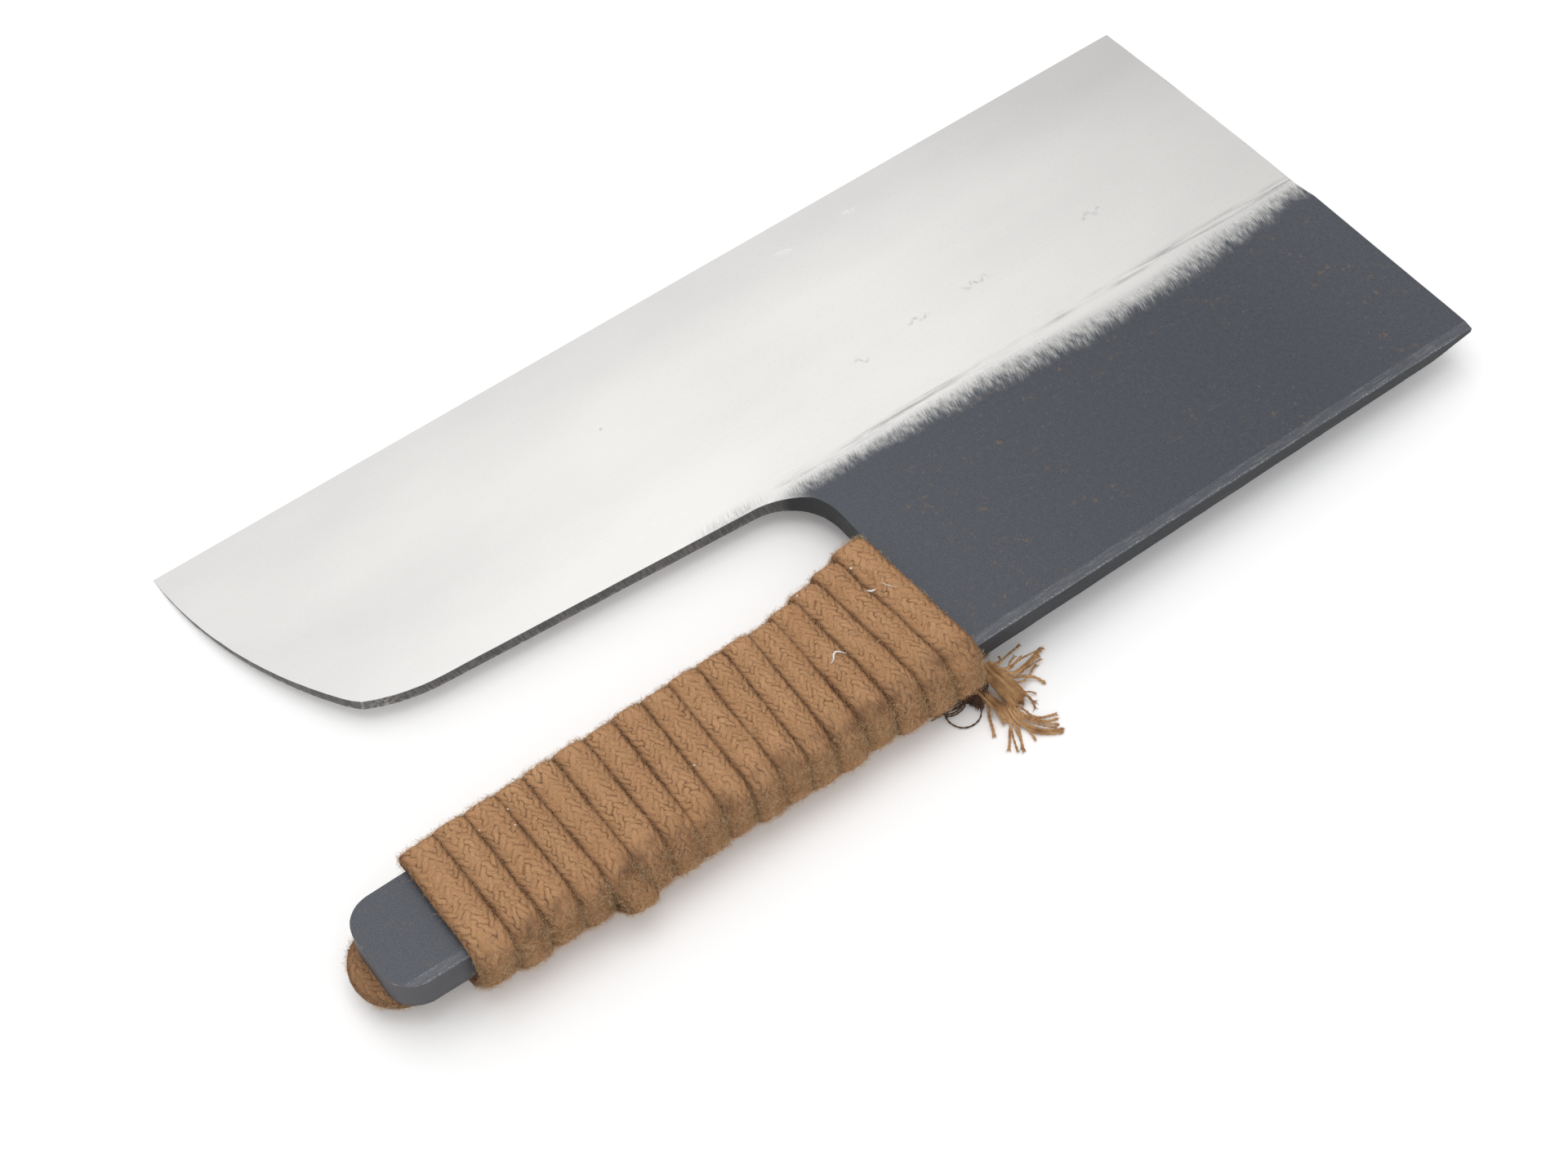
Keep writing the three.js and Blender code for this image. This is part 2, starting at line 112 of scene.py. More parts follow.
@dataclass(frozen=True)
class KnifeForm:
    """Sizes of the forging in millimetres, as measured from the photograph."""

    edge_length: float = 240.0
    height: float = 111.8
    spine_length: float = 128.4
    heel_radius: float = 86.0
    heel_corner_radius: float = 15.0
    heel_back_slope: float = math.radians(4.2)
    crease_turn: float = math.radians(38.3)
    facet_bend: float = math.radians(24.0)
    facet_x: float = 16.8
    finger_gap: float = 21.8
    notch_radius: float = 12.5
    tang_length: float = 122.1
    butt_width: float = 20.6
    butt_inset: float = 2.6
    flare_length: float = 25.6
    flare_width: float = 23.8
    shoulder_width: float = 29.3
    fillet_radius: float = 7.0
    butt_outer_radius: float = 6.5
    butt_inner_radius: float = 6.0
    butt_thickness: float = 7.1
    front_thickness: float = 3.3
    edge_thickness: float = 0.3
    edge_land: float = 0.06
    heel_bevel_thickness: float = 2.6
    neck_bevel_thickness: float = 3.2
    front_bevel_thickness: float = 2.3
    bevel_belly: float = 1.6
    bevel_below_notch: float = 1.2
    blend_width: float = 7.5
    chamfer_width: float = 1.9
    chamfer_drop: float = 0.5
    relief_length: float = 10.0
    relief_width: float = 7.0
    relief_rise: float = 1.8

    @property
    def notch_x(self) -> float:
        """Place of the notch and the shoulder along the edge."""
        return self.edge_length - self.spine_length

    @property
    def butt_x(self) -> float:
        """Place of the butt along the edge."""
        return self.notch_x - self.tang_length

    @property
    def flare_x(self) -> float:
        """Place where the tang starts to widen towards the shoulder."""
        return self.notch_x - self.flare_length

    @property
    def shoulder_inner(self) -> float:
        """Depth of the tang's inner side at the shoulder."""
        return self.height - self.shoulder_width

    @property
    def heel_back(self) -> float:
        """Depth of the heel's back at the notch."""
        return self.shoulder_inner - self.finger_gap

    @property
    def bevel_top(self) -> float:
        """Depth where the ground bevel ends."""
        return self.heel_back - self.bevel_below_notch

    def outer_depth(self, along: float) -> float:
        """Depth of the spine, and of the tang's outer side, which draws in towards the butt."""
        share = min(1.0, (along - self.butt_x) / self.tang_length)
        return lerp(self.height - self.butt_inset, self.height, share)

    def inner_side(self, along: float) -> float:
        """Depth of the tang's inner side without the fillet at the notch.

        Args:
            along: Place along the edge.

        Returns:
            Depth from the edge.
        """
        butt = self.outer_depth(self.butt_x) - self.butt_width
        flare = self.outer_depth(self.flare_x) - self.flare_width
        if along < self.flare_x:
            return lerp(butt, flare, (along - self.butt_x) / (self.flare_x - self.butt_x))
        return lerp(flare, self.shoulder_inner, (along - self.flare_x) / self.flare_length)

    def inner_depth(self, along: float) -> float:
        """Depth of the tang's inner side with the fillet that runs into the notch.

        Args:
            along: Place along the edge.

        Returns:
            Depth from the edge.
        """
        rise = self.inner_side(self.flare_x) - self.shoulder_inner
        angle = math.atan2(rise, self.flare_length)
        reach = self.fillet_radius * math.tan((RIGHT - angle) / 2)
        beyond = along - (self.notch_x - self.fillet_radius)
        if beyond <= self.fillet_radius * math.sin(angle):
            return self.inner_side(along)
        drop = max(0.0, self.fillet_radius**2 - beyond**2)
        return self.shoulder_inner - reach + math.sqrt(drop)

    def spine_thickness(self, along: float) -> float:
        """Thickness above the bevel, which falls from the butt to the front."""
        share = (along - self.butt_x) / (self.edge_length - self.butt_x)
        return lerp(self.butt_thickness, self.front_thickness, share)

    def bevel_thickness(self, along: float) -> float:
        """Thickness where the bevel ends.

        Args:
            along: Place along the edge.

        Returns:
            Thickness over the flat back.
        """
        if along < self.notch_x:
            return lerp(self.heel_bevel_thickness, self.neck_bevel_thickness, along / self.notch_x)
        share = (along - self.notch_x) / self.spine_length
        return lerp(self.neck_bevel_thickness, self.front_bevel_thickness, share)

    def top_height(self, along: float, depth: float) -> float:
        """Height of the upper face: a bellied bevel, a blend, the flat and the spine's chamfer.

        Args:
            along: Place along the edge.
            depth: Depth from the edge.

        Returns:
            Height over the flat back.
        """
        bevel = self.bevel_thickness(along)
        share = clamp(depth / self.bevel_top)
        if share < 1.0:
            belly = 1.0 - (1.0 - share) ** self.bevel_belly
            return self.edge_land + (bevel - self.edge_land) * belly
        blend = ease((depth - self.bevel_top) / self.blend_width)
        past = max(0.0, depth - self.outer_depth(along) + self.chamfer_width)
        drop = self.chamfer_drop * past / self.chamfer_width * ease(along / self.flare_length)
        return lerp(bevel, self.spine_thickness(along), blend) - drop

    def under_height(self, along: float, depth: float) -> float:
        """Height of the back: flat, with the corner at the front of the spine relieved.

        Args:
            along: Place along the edge.
            depth: Depth from the edge.

        Returns:
            Height over the flat back.
        """
        run = clamp((along - self.edge_length + self.relief_length) / self.relief_length)
        side = clamp((depth - self.outer_depth(along) + self.relief_width) / self.relief_width)
        return self.relief_rise * run * side


@dataclass(frozen=True)
class KnifePose:
    """Where the knife's own frame lies in the part's frame."""

    lean: float
    origin: Vector

    @classmethod
    def from_frame(cls, form: KnifeForm) -> "KnifePose":
        """Finds the lean from the back's mount and the place from the blade's box.

        Args:
            form: The knife's sizes.

        Returns:
            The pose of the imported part.
        """
        mounts = {mount["name"]: mount for mount in frame["record"]["mounts"]}
        lean = math.asin(-mounts["flat_back"]["axis"][1])
        low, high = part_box("blade")
        across = high.y - form.edge_thickness * MM * math.sin(lean)
        return cls(lean, Vector((low.x - form.butt_x * MM, across, 0.0)))

    @property
    def matrix(self) -> Matrix:
        """Takes metres in the knife's frame to metres in the part's frame."""
        return Matrix.Translation(self.origin) @ Matrix.Rotation(-self.lean, 4, "X")

    def place(self, along: float, depth: float, height: float) -> Vector:
        """Point in the part's frame, in metres, of a place on the knife in millimetres."""
        return self.matrix @ Vector((along * MM, -depth * MM, height * MM))

    def on_table(self, along: float, depth: float, height: float) -> Vector:
        """Point over the table, in metres, measured along the table from the heel and the edge."""
        return Vector((self.origin.x + along * MM, self.origin.y - depth * MM, height * MM))


# Shader graph


Operand = Union["Socket", float]


class Socket:
    """An output socket with maths as operators."""

    def __init__(self, graph: "NodeGraph", link: Optional[NodeSocket]) -> None:
        """Wraps one output of a node, or nothing for an end node."""
        self.graph = graph
        self.link = link

    def maths(self, operation: str, *others: Operand) -> "Socket":
        """Maths node on this value and up to two others."""
        return self.graph.node("ShaderNodeMath", (self, *others), operation=operation)

    def __add__(self, other: Operand) -> "Socket":
        """Sum."""
        return self.maths("ADD", other)

    __radd__ = __add__

    def __sub__(self, other: Operand) -> "Socket":
        """Difference."""
        return self.maths("SUBTRACT", other)

    def __rsub__(self, other: float) -> "Socket":
        """Difference from a number."""
        return self.graph.node("ShaderNodeMath", (other, self), operation="SUBTRACT")

    def __mul__(self, other: Operand) -> "Socket":
        """Product."""
        return self.maths("MULTIPLY", other)

    __rmul__ = __mul__

    def __truediv__(self, other: Operand) -> "Socket":
        """Quotient."""
        return self.maths("DIVIDE", other)

    def __pow__(self, other: float) -> "Socket":
        """Power."""
        return self.maths("POWER", other)

    def __abs__(self) -> "Socket":
        """Size without the sign."""
        return self.maths("ABSOLUTE")

    def held(self) -> "Socket":
        """Value held between 0 and 1."""
        return self.maths("MAXIMUM", 0.0).maths("MINIMUM", 1.0)

    def step(self, low: Operand, high: Operand) -> "Socket":
        """Smooth step from 0 at low to 1 at high."""
        limits = (self, low, high, 0.0, 1.0)
        return self.graph.node("ShaderNodeMapRange", limits, interpolation_type="SMOOTHSTEP")

    def band(self, middle: Operand, reach: float) -> "Socket":
        """Soft band that is 1 at its middle and 0 beyond its reach."""
        return 1.0 - abs(self - middle).step(0.0, reach)


Colour = tuple[float, float, float]
Shade = Union[Socket, Colour]


class NodeGraph:
    """Node tree of a material or of the sky."""

    def __init__(self, owner: Union[Material, World]) -> None:
        """Empties the owner's tree.

        Args:
            owner: The material or the sky.
        """
        owner.use_nodes = True
        self.owner = owner
        self.tree = owner.node_tree
        self.tree.nodes.clear()

    @classmethod
    def for_material(cls, name: str) -> "NodeGraph":
        """Graph of a new material."""
        return cls(bpy.data.materials.new(name))

    def node(
        self,
        kind: str,
        inputs: Union[Sequence[Any], dict[Any, Any]] = (),
        output: Union[int, str] = 0,
        **settings: Any,
    ) -> Socket:
        """Adds any node, its settings first and then its inputs.

        Args:
            kind: Type of the node.
            inputs: Values or links of its input sockets, in order or by name.
            output: The output that is wanted.
            settings: Values of the node's own properties.

        Returns:
            The wanted output, empty for an end node.
        """
        made = self.tree.nodes.new(kind)
        for name, value in settings.items():
            setattr(made, name, value)
        pairs = inputs.items() if isinstance(inputs, dict) else enumerate(inputs)
        for key, value in pairs:
            if isinstance(value, Socket):
                self.tree.links.new(value.link, made.inputs[key])
            elif isinstance(value, tuple) and made.inputs[key].type == "RGBA":
                made.inputs[key].default_value = (*value, 1.0)
            else:
                made.inputs[key].default_value = value
        return Socket(self, made.outputs[output] if made.outputs else None)

    def mix(self, share: Operand, first: Shade, second: Shade) -> Socket:
        """Mix of two colours by the share of the second."""
        inputs = {0: share, 6: first, 7: second}
        return self.node("ShaderNodeMix", inputs, 2, data_type="RGBA")

    def scale(self, shade: Shade, amount: Operand) -> Socket:
        """Colour times a number."""
        return self.node("ShaderNodeVectorMath", {0: shade, 3: amount}, operation="SCALE")

    def split(self, vector: Socket) -> tuple[Socket, Socket, Socket]:
        """Parts of a vector."""
        made = self.node("ShaderNodeSeparateXYZ", (vector,)).link.node
        return tuple(Socket(self, part) for part in made.outputs)

    def join(self, *parts: Operand) -> Socket:
        """Vector of three parts."""
        return self.node("ShaderNodeCombineXYZ", parts)

    def grain(
        self, place: Union[Socket, Sequence[Operand]], detail: float = 2.0, roughness: float = 0.5
    ) -> Socket:
        """Noise of about one unit's size.

        Args:
            place: Where the noise is read, as a vector or its three parts.
            detail: Number of finer layers.
            roughness: Weight of the finer layers.

        Returns:
            The noise, around 0.5.
        """
        where = place if isinstance(place, Socket) else self.join(*place)
        inputs = {"Vector": where, "Scale": 1.0, "Detail": detail, "Roughness": roughness}
        return self.node("ShaderNodeTexNoise", inputs)

    def knife_place(self, pose: KnifePose) -> tuple[Socket, Socket, Socket]:
        """Place in the knife's own frame in millimetres.

        Args:
            pose: Where the knife lies.

        Returns:
            Place along the edge, depth and height.
        """
        turn = Matrix.Rotation(pose.lean, 3, "X")
        inputs = {
            "Vector": self.node("ShaderNodeTexCoord", (), "Object"),
            "Location": tuple(-(turn @ pose.origin) / MM),
            "Rotation": (pose.lean, 0.0, 0.0),
            "Scale": (1.0 / MM,) * 3,
        }
        along, across, height = self.split(self.node("ShaderNodeMapping", inputs))
        return along, 0.0 - across, height

    def surface(
        self,
        inputs: dict[str, Any],
        relief: Optional[Socket] = None,
        depth: float = 0.0,
        through: float = 0.0,
    ) -> None:
        """Ends the graph in a principled surface.

        Args:
            inputs: Inputs of the surface.
            relief: Height of its fine relief.
            depth: Depth of that relief in metres.
            through: Share of the light that thin fibres let through.
        """
        filled = dict(inputs)
        if relief is not None:
            filled["Normal"] = self.node("ShaderNodeBump", {"Distance": depth, "Height": relief})
        shader = self.node("ShaderNodeBsdfPrincipled", filled)
        if through > 0.0:
            lit_behind = self.node("ShaderNodeBsdfTranslucent", {"Color": inputs["Base Color"]})
            shader = self.node("ShaderNodeMixShader", (through, shader, lit_behind))
        self.node("ShaderNodeOutputMaterial", {"Surface": shader})


# Finishes


@dataclass(frozen=True)
class Mark:
    """A faint mark on the ground bevel: its middle and length in millimetres, and its turn."""

    along: float
    depth: float
    length: float
    turn: float

    def place(self, along: Socket, depth: Socket) -> tuple[Socket, Socket]:
        """Place seen from the mark.

        Args:
            along: Place along the edge.
            depth: Depth from the edge.

        Returns:
            Place along the mark and across it.
        """
        cosine, sine = math.cos(self.turn), math.sin(self.turn)
        right, rise = along - self.along, depth - self.depth
        return right * cosine + rise * sine, rise * cosine - right * sine

    def squiggle(self, along: Socket, depth: Socket) -> Socket:
        """Wavy line along the mark.

        Args:
            along: Place along the edge.
            depth: Depth from the edge.

        Returns:
            The line's strength.
        """
        run, rise = self.place(along, depth)
        off = abs(rise - (run * 2.1).maths("SINE") * 0.55)
        past_end = abs(run).step(self.length * 0.2, self.length * 0.55)
        return (1.0 - off.step(0.0, 0.8)) * (1.0 - past_end)

    def blot(self, along: Socket, depth: Socket, thickness: float) -> Socket:
        """Soft oval over the mark, of a given thickness."""
        run, rise = self.place(along, depth)
        return 1.0 - ((run * (2.0 / self.length)) ** 2.0 + (rise * (2.0 / thickness)) ** 2.0).step(0.0, 1.0)


@dataclass(frozen=True)
class SteelFinish:
    """Ground bevel, brushed fringe and black forge scale of the forging."""

    form: KnifeForm
    pose: KnifePose
    ground: Colour = (0.83, 0.82, 0.80)
    ground_dark: Colour = (0.66, 0.65, 0.64)
    stain_grey: Colour = (0.46, 0.455, 0.45)
    spot_pale: Colour = (0.95, 0.93, 0.91)
    smear: Colour = (0.11, 0.115, 0.12)
    scale_black: Colour = (0.034, 0.040, 0.053)
    scale_light: Colour = (0.052, 0.059, 0.074)
    tang_light: Colour = (0.066, 0.073, 0.090)
    butt_light: Colour = (0.105, 0.106, 0.118)
    rust: Colour = (0.15, 0.102, 0.073)
    scratch: Colour = (0.16, 0.165, 0.175)
    worn: Colour = (0.30, 0.31, 0.33)
    wall_dark: Colour = (0.028, 0.030, 0.035)
    wall_light: Colour = (0.085, 0.086, 0.092)
    filed_dark: Colour = (0.085, 0.084, 0.086)
    filed_light: Colour = (0.21, 0.205, 0.205)
    filed_bright: Colour = (0.46, 0.43, 0.40)
    stains: tuple[Mark, ...] = (
        Mark(201.2, 40.1, 6.5, 0.10),
        Mark(170.5, 40.3, 8.0, 0.05),
        Mark(155.1, 40.9, 6.5, 0.20),
        Mark(139.3, 42.5, 4.0, 0.35),
    )
    spots: tuple[Mark, ...] = (Mark(145.5, 7.9, 6.0, 0.2), Mark(163.1, 7.1, 5.0, 0.2))
    dot: Mark = Mark(88.3, 24.0, 0.9, 0.0)
    # Sizes and places in millimetres. A pair is where a change starts and ends.
    spot_thickness: float = 1.8
    dot_thickness: float = 0.8
    # Band of painted darker reflection by the edge, span of the darker heel, span of painted reflection at
    # the front.
    edge_reflection_band: float = 26.0
    darker_heel_span: Span = (0.0, 95.0)
    front_reflection_span: Span = (140.0, 240.0)
    fringe_start: float = 58.4
    fringe_line: float = 58.3
    fringe_border: float = 65.0
    border_rise: float = 4.6
    border_rise_span: Span = (115.0, 180.0)
    border_fall: float = 3.6
    border_fall_span: Span = (205.0, 240.0)
    border_lumps: float = 6.0
    start_bulge: float = 3.0
    tang_depth: Span = (70.0, 72.0)
    residue_depth: Span = (56.0, 59.8)
    lighter_tang: Span = (60.0, 200.0)
    lighter_front: Span = (200.0, 240.0)
    lighter_butt: Span = (4.0, 26.0)
    # Where the arris at the butt's outer corner is worn bright and carries a painted highlight.
    butt_wear_and_highlight: Span = (2.0, 8.0)
    butt_wear_and_highlight_depth: Span = (100.0, 106.0)
    # Depth of the fine relief in metres.
    face_relief: float = 0.00006
    wall_relief: float = 0.00018
    arris_relief: float = 0.0001

    def on_heel(self, depth: Socket) -> Socket:
        """Share that is 1 on the sides of the heel and 0 on the tang and the spine."""
        return 1.0 - depth.step(self.form.heel_back - 0.2, self.form.heel_back + 2.0)

    def ground_steel(self, along: Socket, depth: Socket) -> tuple[Socket, Socket]:
        """Ground steel: grinding lines, soft clouds, a darker heel, and painted darker reflection by the
        edge and front.

        Args:
            along: Place along the edge.
            depth: Depth from the edge.

        Returns:
            Colour and fine relief.
        """
        graph = along.graph
        lines = graph.grain((along * 0.05, depth * 4.2, 0.0), 3.0, 0.6)
        brushed = graph.grain((along * 0.4, depth * 2.4, 5.0), 2.0, 0.6)
        clouds = graph.grain((along * 0.03, depth * 0.07, 3.0), 2.0)
        # Painted darker reflection in a band by the edge and towards the front; the heel is darker away
        # from the edge.
        edge = depth.band(0.0, self.edge_reflection_band) * 0.50
        heel = (1.0 - along.step(*self.darker_heel_span)) * depth.step(0.0, 40.0) * 0.7
        front = along.step(*self.front_reflection_span) * (1.0 - depth.step(0.0, 60.0)) * 0.55
        cloudy = graph.grain((along * 1.3, depth * 1.9, 8.0), 3.0, 0.7)
        fine = (lines - 0.5) * 0.12 + (brushed - 0.5) * 0.15 + (cloudy - 0.5) * 0.34
        darkening = (clouds - 0.35) * 0.55 + fine + edge + heel + front
        colour = graph.mix(darkening.held(), self.ground, self.ground_dark)
        blotches = graph.grain((along * 1.3, depth * 1.3, 17.0), 3.0, 0.7).step(0.38, 0.66)
        for stain in self.stains:
            colour = graph.mix(stain.squiggle(along, depth) * blotches * 0.8, colour, self.stain_grey)
        for spot in self.spots:
            pale = spot.blot(along, depth, self.spot_thickness) * blotches
            colour = graph.mix(pale * 0.6, colour, self.spot_pale)
        dot = self.dot.blot(along, depth, self.dot_thickness)
        colour = graph.mix(dot * 0.7, colour, self.stain_grey)
        return colour, lines * 0.6 + brushed * 0.4

    def fringe(self, along: Socket, depth: Socket, ground: Socket) -> tuple[Socket, Socket, Socket]:
        """Fringe where the scale was brushed off: dark lines, a bright band and ragged strokes.

        Args:
            along: Place along the edge.
            depth: Depth from the edge.
            ground: Colour of the ground steel.

        Returns:
            Share of the black scale, colour of the bright side and relief of the strokes.
        """
        graph = along.graph
        lumps = graph.grain((along * 0.16, 0.0, 7.0), 2.0)
        drift = graph.grain((along * 0.035, 0.0, 21.0), 1.0)
        rise = along.step(*self.border_rise_span) * self.border_rise
        fall = along.step(*self.border_fall_span) * self.border_fall
        border = self.fringe_border + rise - fall + (lumps - 0.5) * self.border_lumps
        start = self.fringe_start + along.band(188.0, 34.0) * self.start_bulge + (drift - 0.5) * 2.0
        span = ((depth - start) / (border - start)).held()

        clumps = graph.grain((along * 0.9, depth * 0.3, 2.0), 2.0)
        strokes = graph.grain((along * 6.5 + depth * 2.3, depth * 0.32, 0.0), 3.0, 0.65)
        cover = span * (1.25 - span * 0.25)
        uneven = (strokes - 0.5) * 7.0 + (clumps - 0.5) * 3.5
        ragged = cover * (1.0 - cover) * (cover + 0.3) * uneven
        past_heel = along.step(self.form.notch_x - 8.0, self.form.notch_x - 1.0)
        on_tang = depth.step(*self.tang_depth)
        black = (cover + ragged).step(0.03, 0.97) * past_heel.maths("MAXIMUM", on_tang)

        line_grain = graph.grain((along * 0.05, depth * 1.0 - along * 0.04, 9.0), 4.0, 0.7)
        patchy = graph.grain((along * 0.05, depth * 0.1, 11.0), 2.0)
        near_line = depth.band(self.fringe_line + (drift - 0.5) * 1.5, 1.7)
        lines = near_line * line_grain.step(0.40, 0.62) * patchy.step(0.34, 0.58) * (strokes + 0.4)
        pit_grain = graph.grain((along * 2.4, depth * 1.5, 5.0), 2.0, 0.6)
        pits = span.band(0.30, 0.4) * pit_grain.step(0.60, 0.70)
        residue = along.band(95.0, 12.0) * depth.step(*self.residue_depth) * strokes.step(0.40, 0.60)
        shaded = (lines * 0.6 + pits * 0.5) * past_heel + residue * (1.0 - past_heel) * 0.7
        return black, graph.mix(shaded.maths("MINIMUM", 0.85), ground, self.smear), strokes

    def forge_scale(self, along: Socket, depth: Socket) -> tuple[Socket, Socket]:
        """Forge scale: mottled blue-grey with brown flecks, pale specks, scratches and worn lines.

        Args:
            along: Place along the edge.
            depth: Depth from the edge.

        Returns:
            Colour and fine relief.
        """
        form, graph = self.form, along.graph
        mottle = graph.grain((along * 0.9, depth * 0.9, 1.0), 4.0, 0.6)
        colour = graph.mix(mottle.step(0.1, 0.9), self.scale_black, self.scale_light)
        tang = (1.0 - along.step(*self.lighter_tang)) * (mottle + 0.45)
        front = along.step(*self.lighter_front) * mottle
        colour = graph.mix((tang + front).held(), colour, self.tang_light)
        speckle = graph.grain((along * 3.5, depth * 3.5, 3.0), 2.0, 0.6)
        colour = graph.scale(colour, speckle * 1.7 + 0.15)
        fleck_field = graph.grain((along * 0.05, depth * 0.05, 2.0), 1.0)
        fleck_grain = graph.grain((along * 0.55, depth * 0.55, 4.0), 3.0, 0.7)
        fine_flecks = graph.grain((along * 1.5, depth * 1.5, 12.0), 2.0, 0.6).step(0.60, 0.72)
        coarse_flecks = fleck_grain.step(0.57, 0.72) * fleck_field.step(0.38, 0.60)
        flecks = (coarse_flecks + fine_flecks * 0.45) * speckle * 1.6
        colour = graph.mix(flecks.held(), colour, self.rust)
        speck_grain = graph.grain((along * 1.9, depth * 1.9, 6.0), 1.0)
        slanted = graph.join(along * 0.09 + depth * 0.03, depth * 3.2 - along * 1.1, 13.0)
        scratches = graph.grain(slanted, 2.0, 0.5).step(0.68, 0.76)
        pale_marks = (speck_grain.step(0.73, 0.81) + scratches * 0.6).held()
        colour = graph.mix(pale_marks * 0.4, colour, self.scratch)

        drawn_in = 1.0 - ((along - form.butt_x) / form.tang_length).held()
        rim = form.height - drawn_in * form.butt_inset - depth
        dashes = graph.grain((along * 2.2, depth * 2.6, 8.0), 3.0, 0.7)
        runs = graph.grain((along * 0.12, 0.0, 8.0), 2.0)
        inner_line = rim.band(form.chamfer_width, 0.25) * dashes.step(0.46, 0.64) * runs.step(0.35, 0.6)
        outer_line = rim.band(0.25, 0.3) * dashes.step(0.46, 0.62) * runs.step(0.3, 0.55)
        streaks = graph.grain((along * 0.16, rim * 6.0, 15.0), 3.0, 0.65).step(0.52, 0.68)
        chamfer = (form.chamfer_width - rim).step(-0.5, 0.3) * (streaks * 0.45 + dashes * 0.18)
        worn = inner_line * 0.40 + outer_line * 0.80 + chamfer
        return graph.mix(worn.held(), colour, self.worn), mottle

    def face(self) -> Material:
        """Finish of the upper face.

        Returns:
            The material.
        """
        graph = NodeGraph.for_material("ground_and_black_steel")
        along, depth, _ = graph.knife_place(self.pose)
        ground, lines = self.ground_steel(along, depth)
        black, bright_side, strokes = self.fringe(along, depth, ground)
        scale, mottle = self.forge_scale(along, depth)
        gloss = graph.grain((along * 0.02, depth * 6.0, 2.0), 2.0)
        inputs = {
            "Base Color": graph.mix(black, bright_side, scale),
            "Metallic": (1.0 - black) * 0.95,
            "Roughness": black * 0.16 + 0.30 + (gloss - 0.5) * 0.08,
        }
        relief = lines * (1.0 - black) * 0.22 + mottle * black * 0.6 + strokes * black * 0.2
        graph.surface(inputs, relief, self.face_relief)
        return graph.owner

    def wall(self) -> Material:
        """Finish of the sides: dark and ground lengthwise, filed bright on the heel, with a painted
        highlight on the facet's crease.

        Returns:
            The material.
        """
        graph = NodeGraph.for_material("filed_steel")
        along, depth, height = graph.knife_place(self.pose)
        run = along + depth
        heel = self.on_heel(depth)
        patches = graph.grain((run * 0.12, height * 0.4, 5.0), 2.0)
        ground = graph.grain((run * 0.05, height * 4.0, 0.0), 3.0, 0.65)
        lit = ground.step(0.42, 0.72) * (patches.step(0.35, 0.7) * 0.6 + 0.25)
        plain = graph.mix(lit, self.wall_dark, self.wall_light)
        butt = (1.0 - along.step(*self.lighter_butt)) * (ground * 0.7 + 0.5)
        plain = graph.mix(butt, plain, self.butt_light)

        files = graph.grain((run * 2.1 + height * 0.7, height * 0.3, 3.0), 3.0, 0.6)
        rough = graph.grain((run * 0.8, height * 1.3, 9.0), 3.0, 0.7)
        file_marks = (files.step(0.36, 0.66) * 0.7 + patches - 0.5).held()
        filed = graph.mix(file_marks, self.filed_dark, self.filed_light)
        facet = along.band(self.form.facet_x + 3.6, 4.4) * rough.step(0.42, 0.58)
        # Painted highlight: a thin bright line along the crease of the heel's facet.
        crease = along.band(self.form.facet_x, 0.35)
        lip = (1.0 - height.step(0.1, 0.9)) * rough.step(0.48, 0.62)
        bright = (facet * 0.6 + crease * 0.5 + lip * 0.7).held()
        inputs = {
            "Base Color": graph.mix(heel, plain, graph.mix(bright, filed, self.filed_bright)),
            "Metallic": 0.35,
            "Roughness": 0.42 + patches * 0.2,
        }
        relief = ground * (1.0 - heel) + (files * 0.6 + rough * 0.5) * heel
        graph.surface(inputs, relief, self.wall_relief)
        return graph.owner

    def arris(self) -> Material:
        """Finish of the worn edges between the face and the sides, with a painted highlight at the butt's
        corner.

        Returns:
            The material.
        """
        graph = NodeGraph.for_material("worn_arris")
        along, depth, height = graph.knife_place(self.pose)
        chips = graph.grain((along * 1.1, depth * 1.1, height * 1.1), 4.0, 0.7)
        heel = self.on_heel(depth)
        # Bright rim at the butt's outer corner: partly worn steel, partly a painted highlight of the
        # rounded edge.
        butt = (1.0 - along.step(*self.butt_wear_and_highlight)) * depth.step(*self.butt_wear_and_highlight_depth)
        low = 0.56 - heel * 0.20 - butt * 0.18
        plain = graph.mix(heel, self.scale_light, self.filed_light)
        bright = graph.mix(heel.maths("MAXIMUM", butt), self.worn, self.filed_bright)
        inputs = {
            "Base Color": graph.mix(chips.step(low, low + 0.12), plain, bright),
            "Metallic": 0.6,
            "Roughness": 0.36 + chips * 0.2,
        }
        graph.surface(inputs, chips, self.arris_relief)
        return graph.owner

    def back(self) -> Material:
        """Finish of the flat back.

        Returns:
            The material.
        """
        graph = NodeGraph.for_material("ground_back")
        along, depth, _ = graph.knife_place(self.pose)
        lines = graph.grain((along * 0.02, depth * 4.0, 1.0), 3.0, 0.6)
        clouds = graph.grain((along * 0.03, depth * 0.05, 2.0), 2.0)
        teeth = graph.grain((along * 1.2, depth * 0.12, 6.0), 2.0, 0.6)
        border = self.form.bevel_top
        black = (depth + (teeth - 0.5) * 10.0).step(border - 1.0, border + 2.0)
        darkening = ((clouds - 0.3) * 0.8 + (lines - 0.5) * 0.4).held()
        ground = graph.mix(darkening, self.ground, self.ground_dark)
        scale = graph.mix(clouds.step(0.3, 0.7), self.scale_black, self.scale_light)
        inputs = {
            "Base Color": graph.mix(black, ground, scale),
            "Metallic": (1.0 - black) * 0.95,
            "Roughness": 0.32 + black * 0.14 + (lines - 0.5) * 0.1,
        }
        graph.surface(inputs, lines, self.face_relief)
        return graph.owner


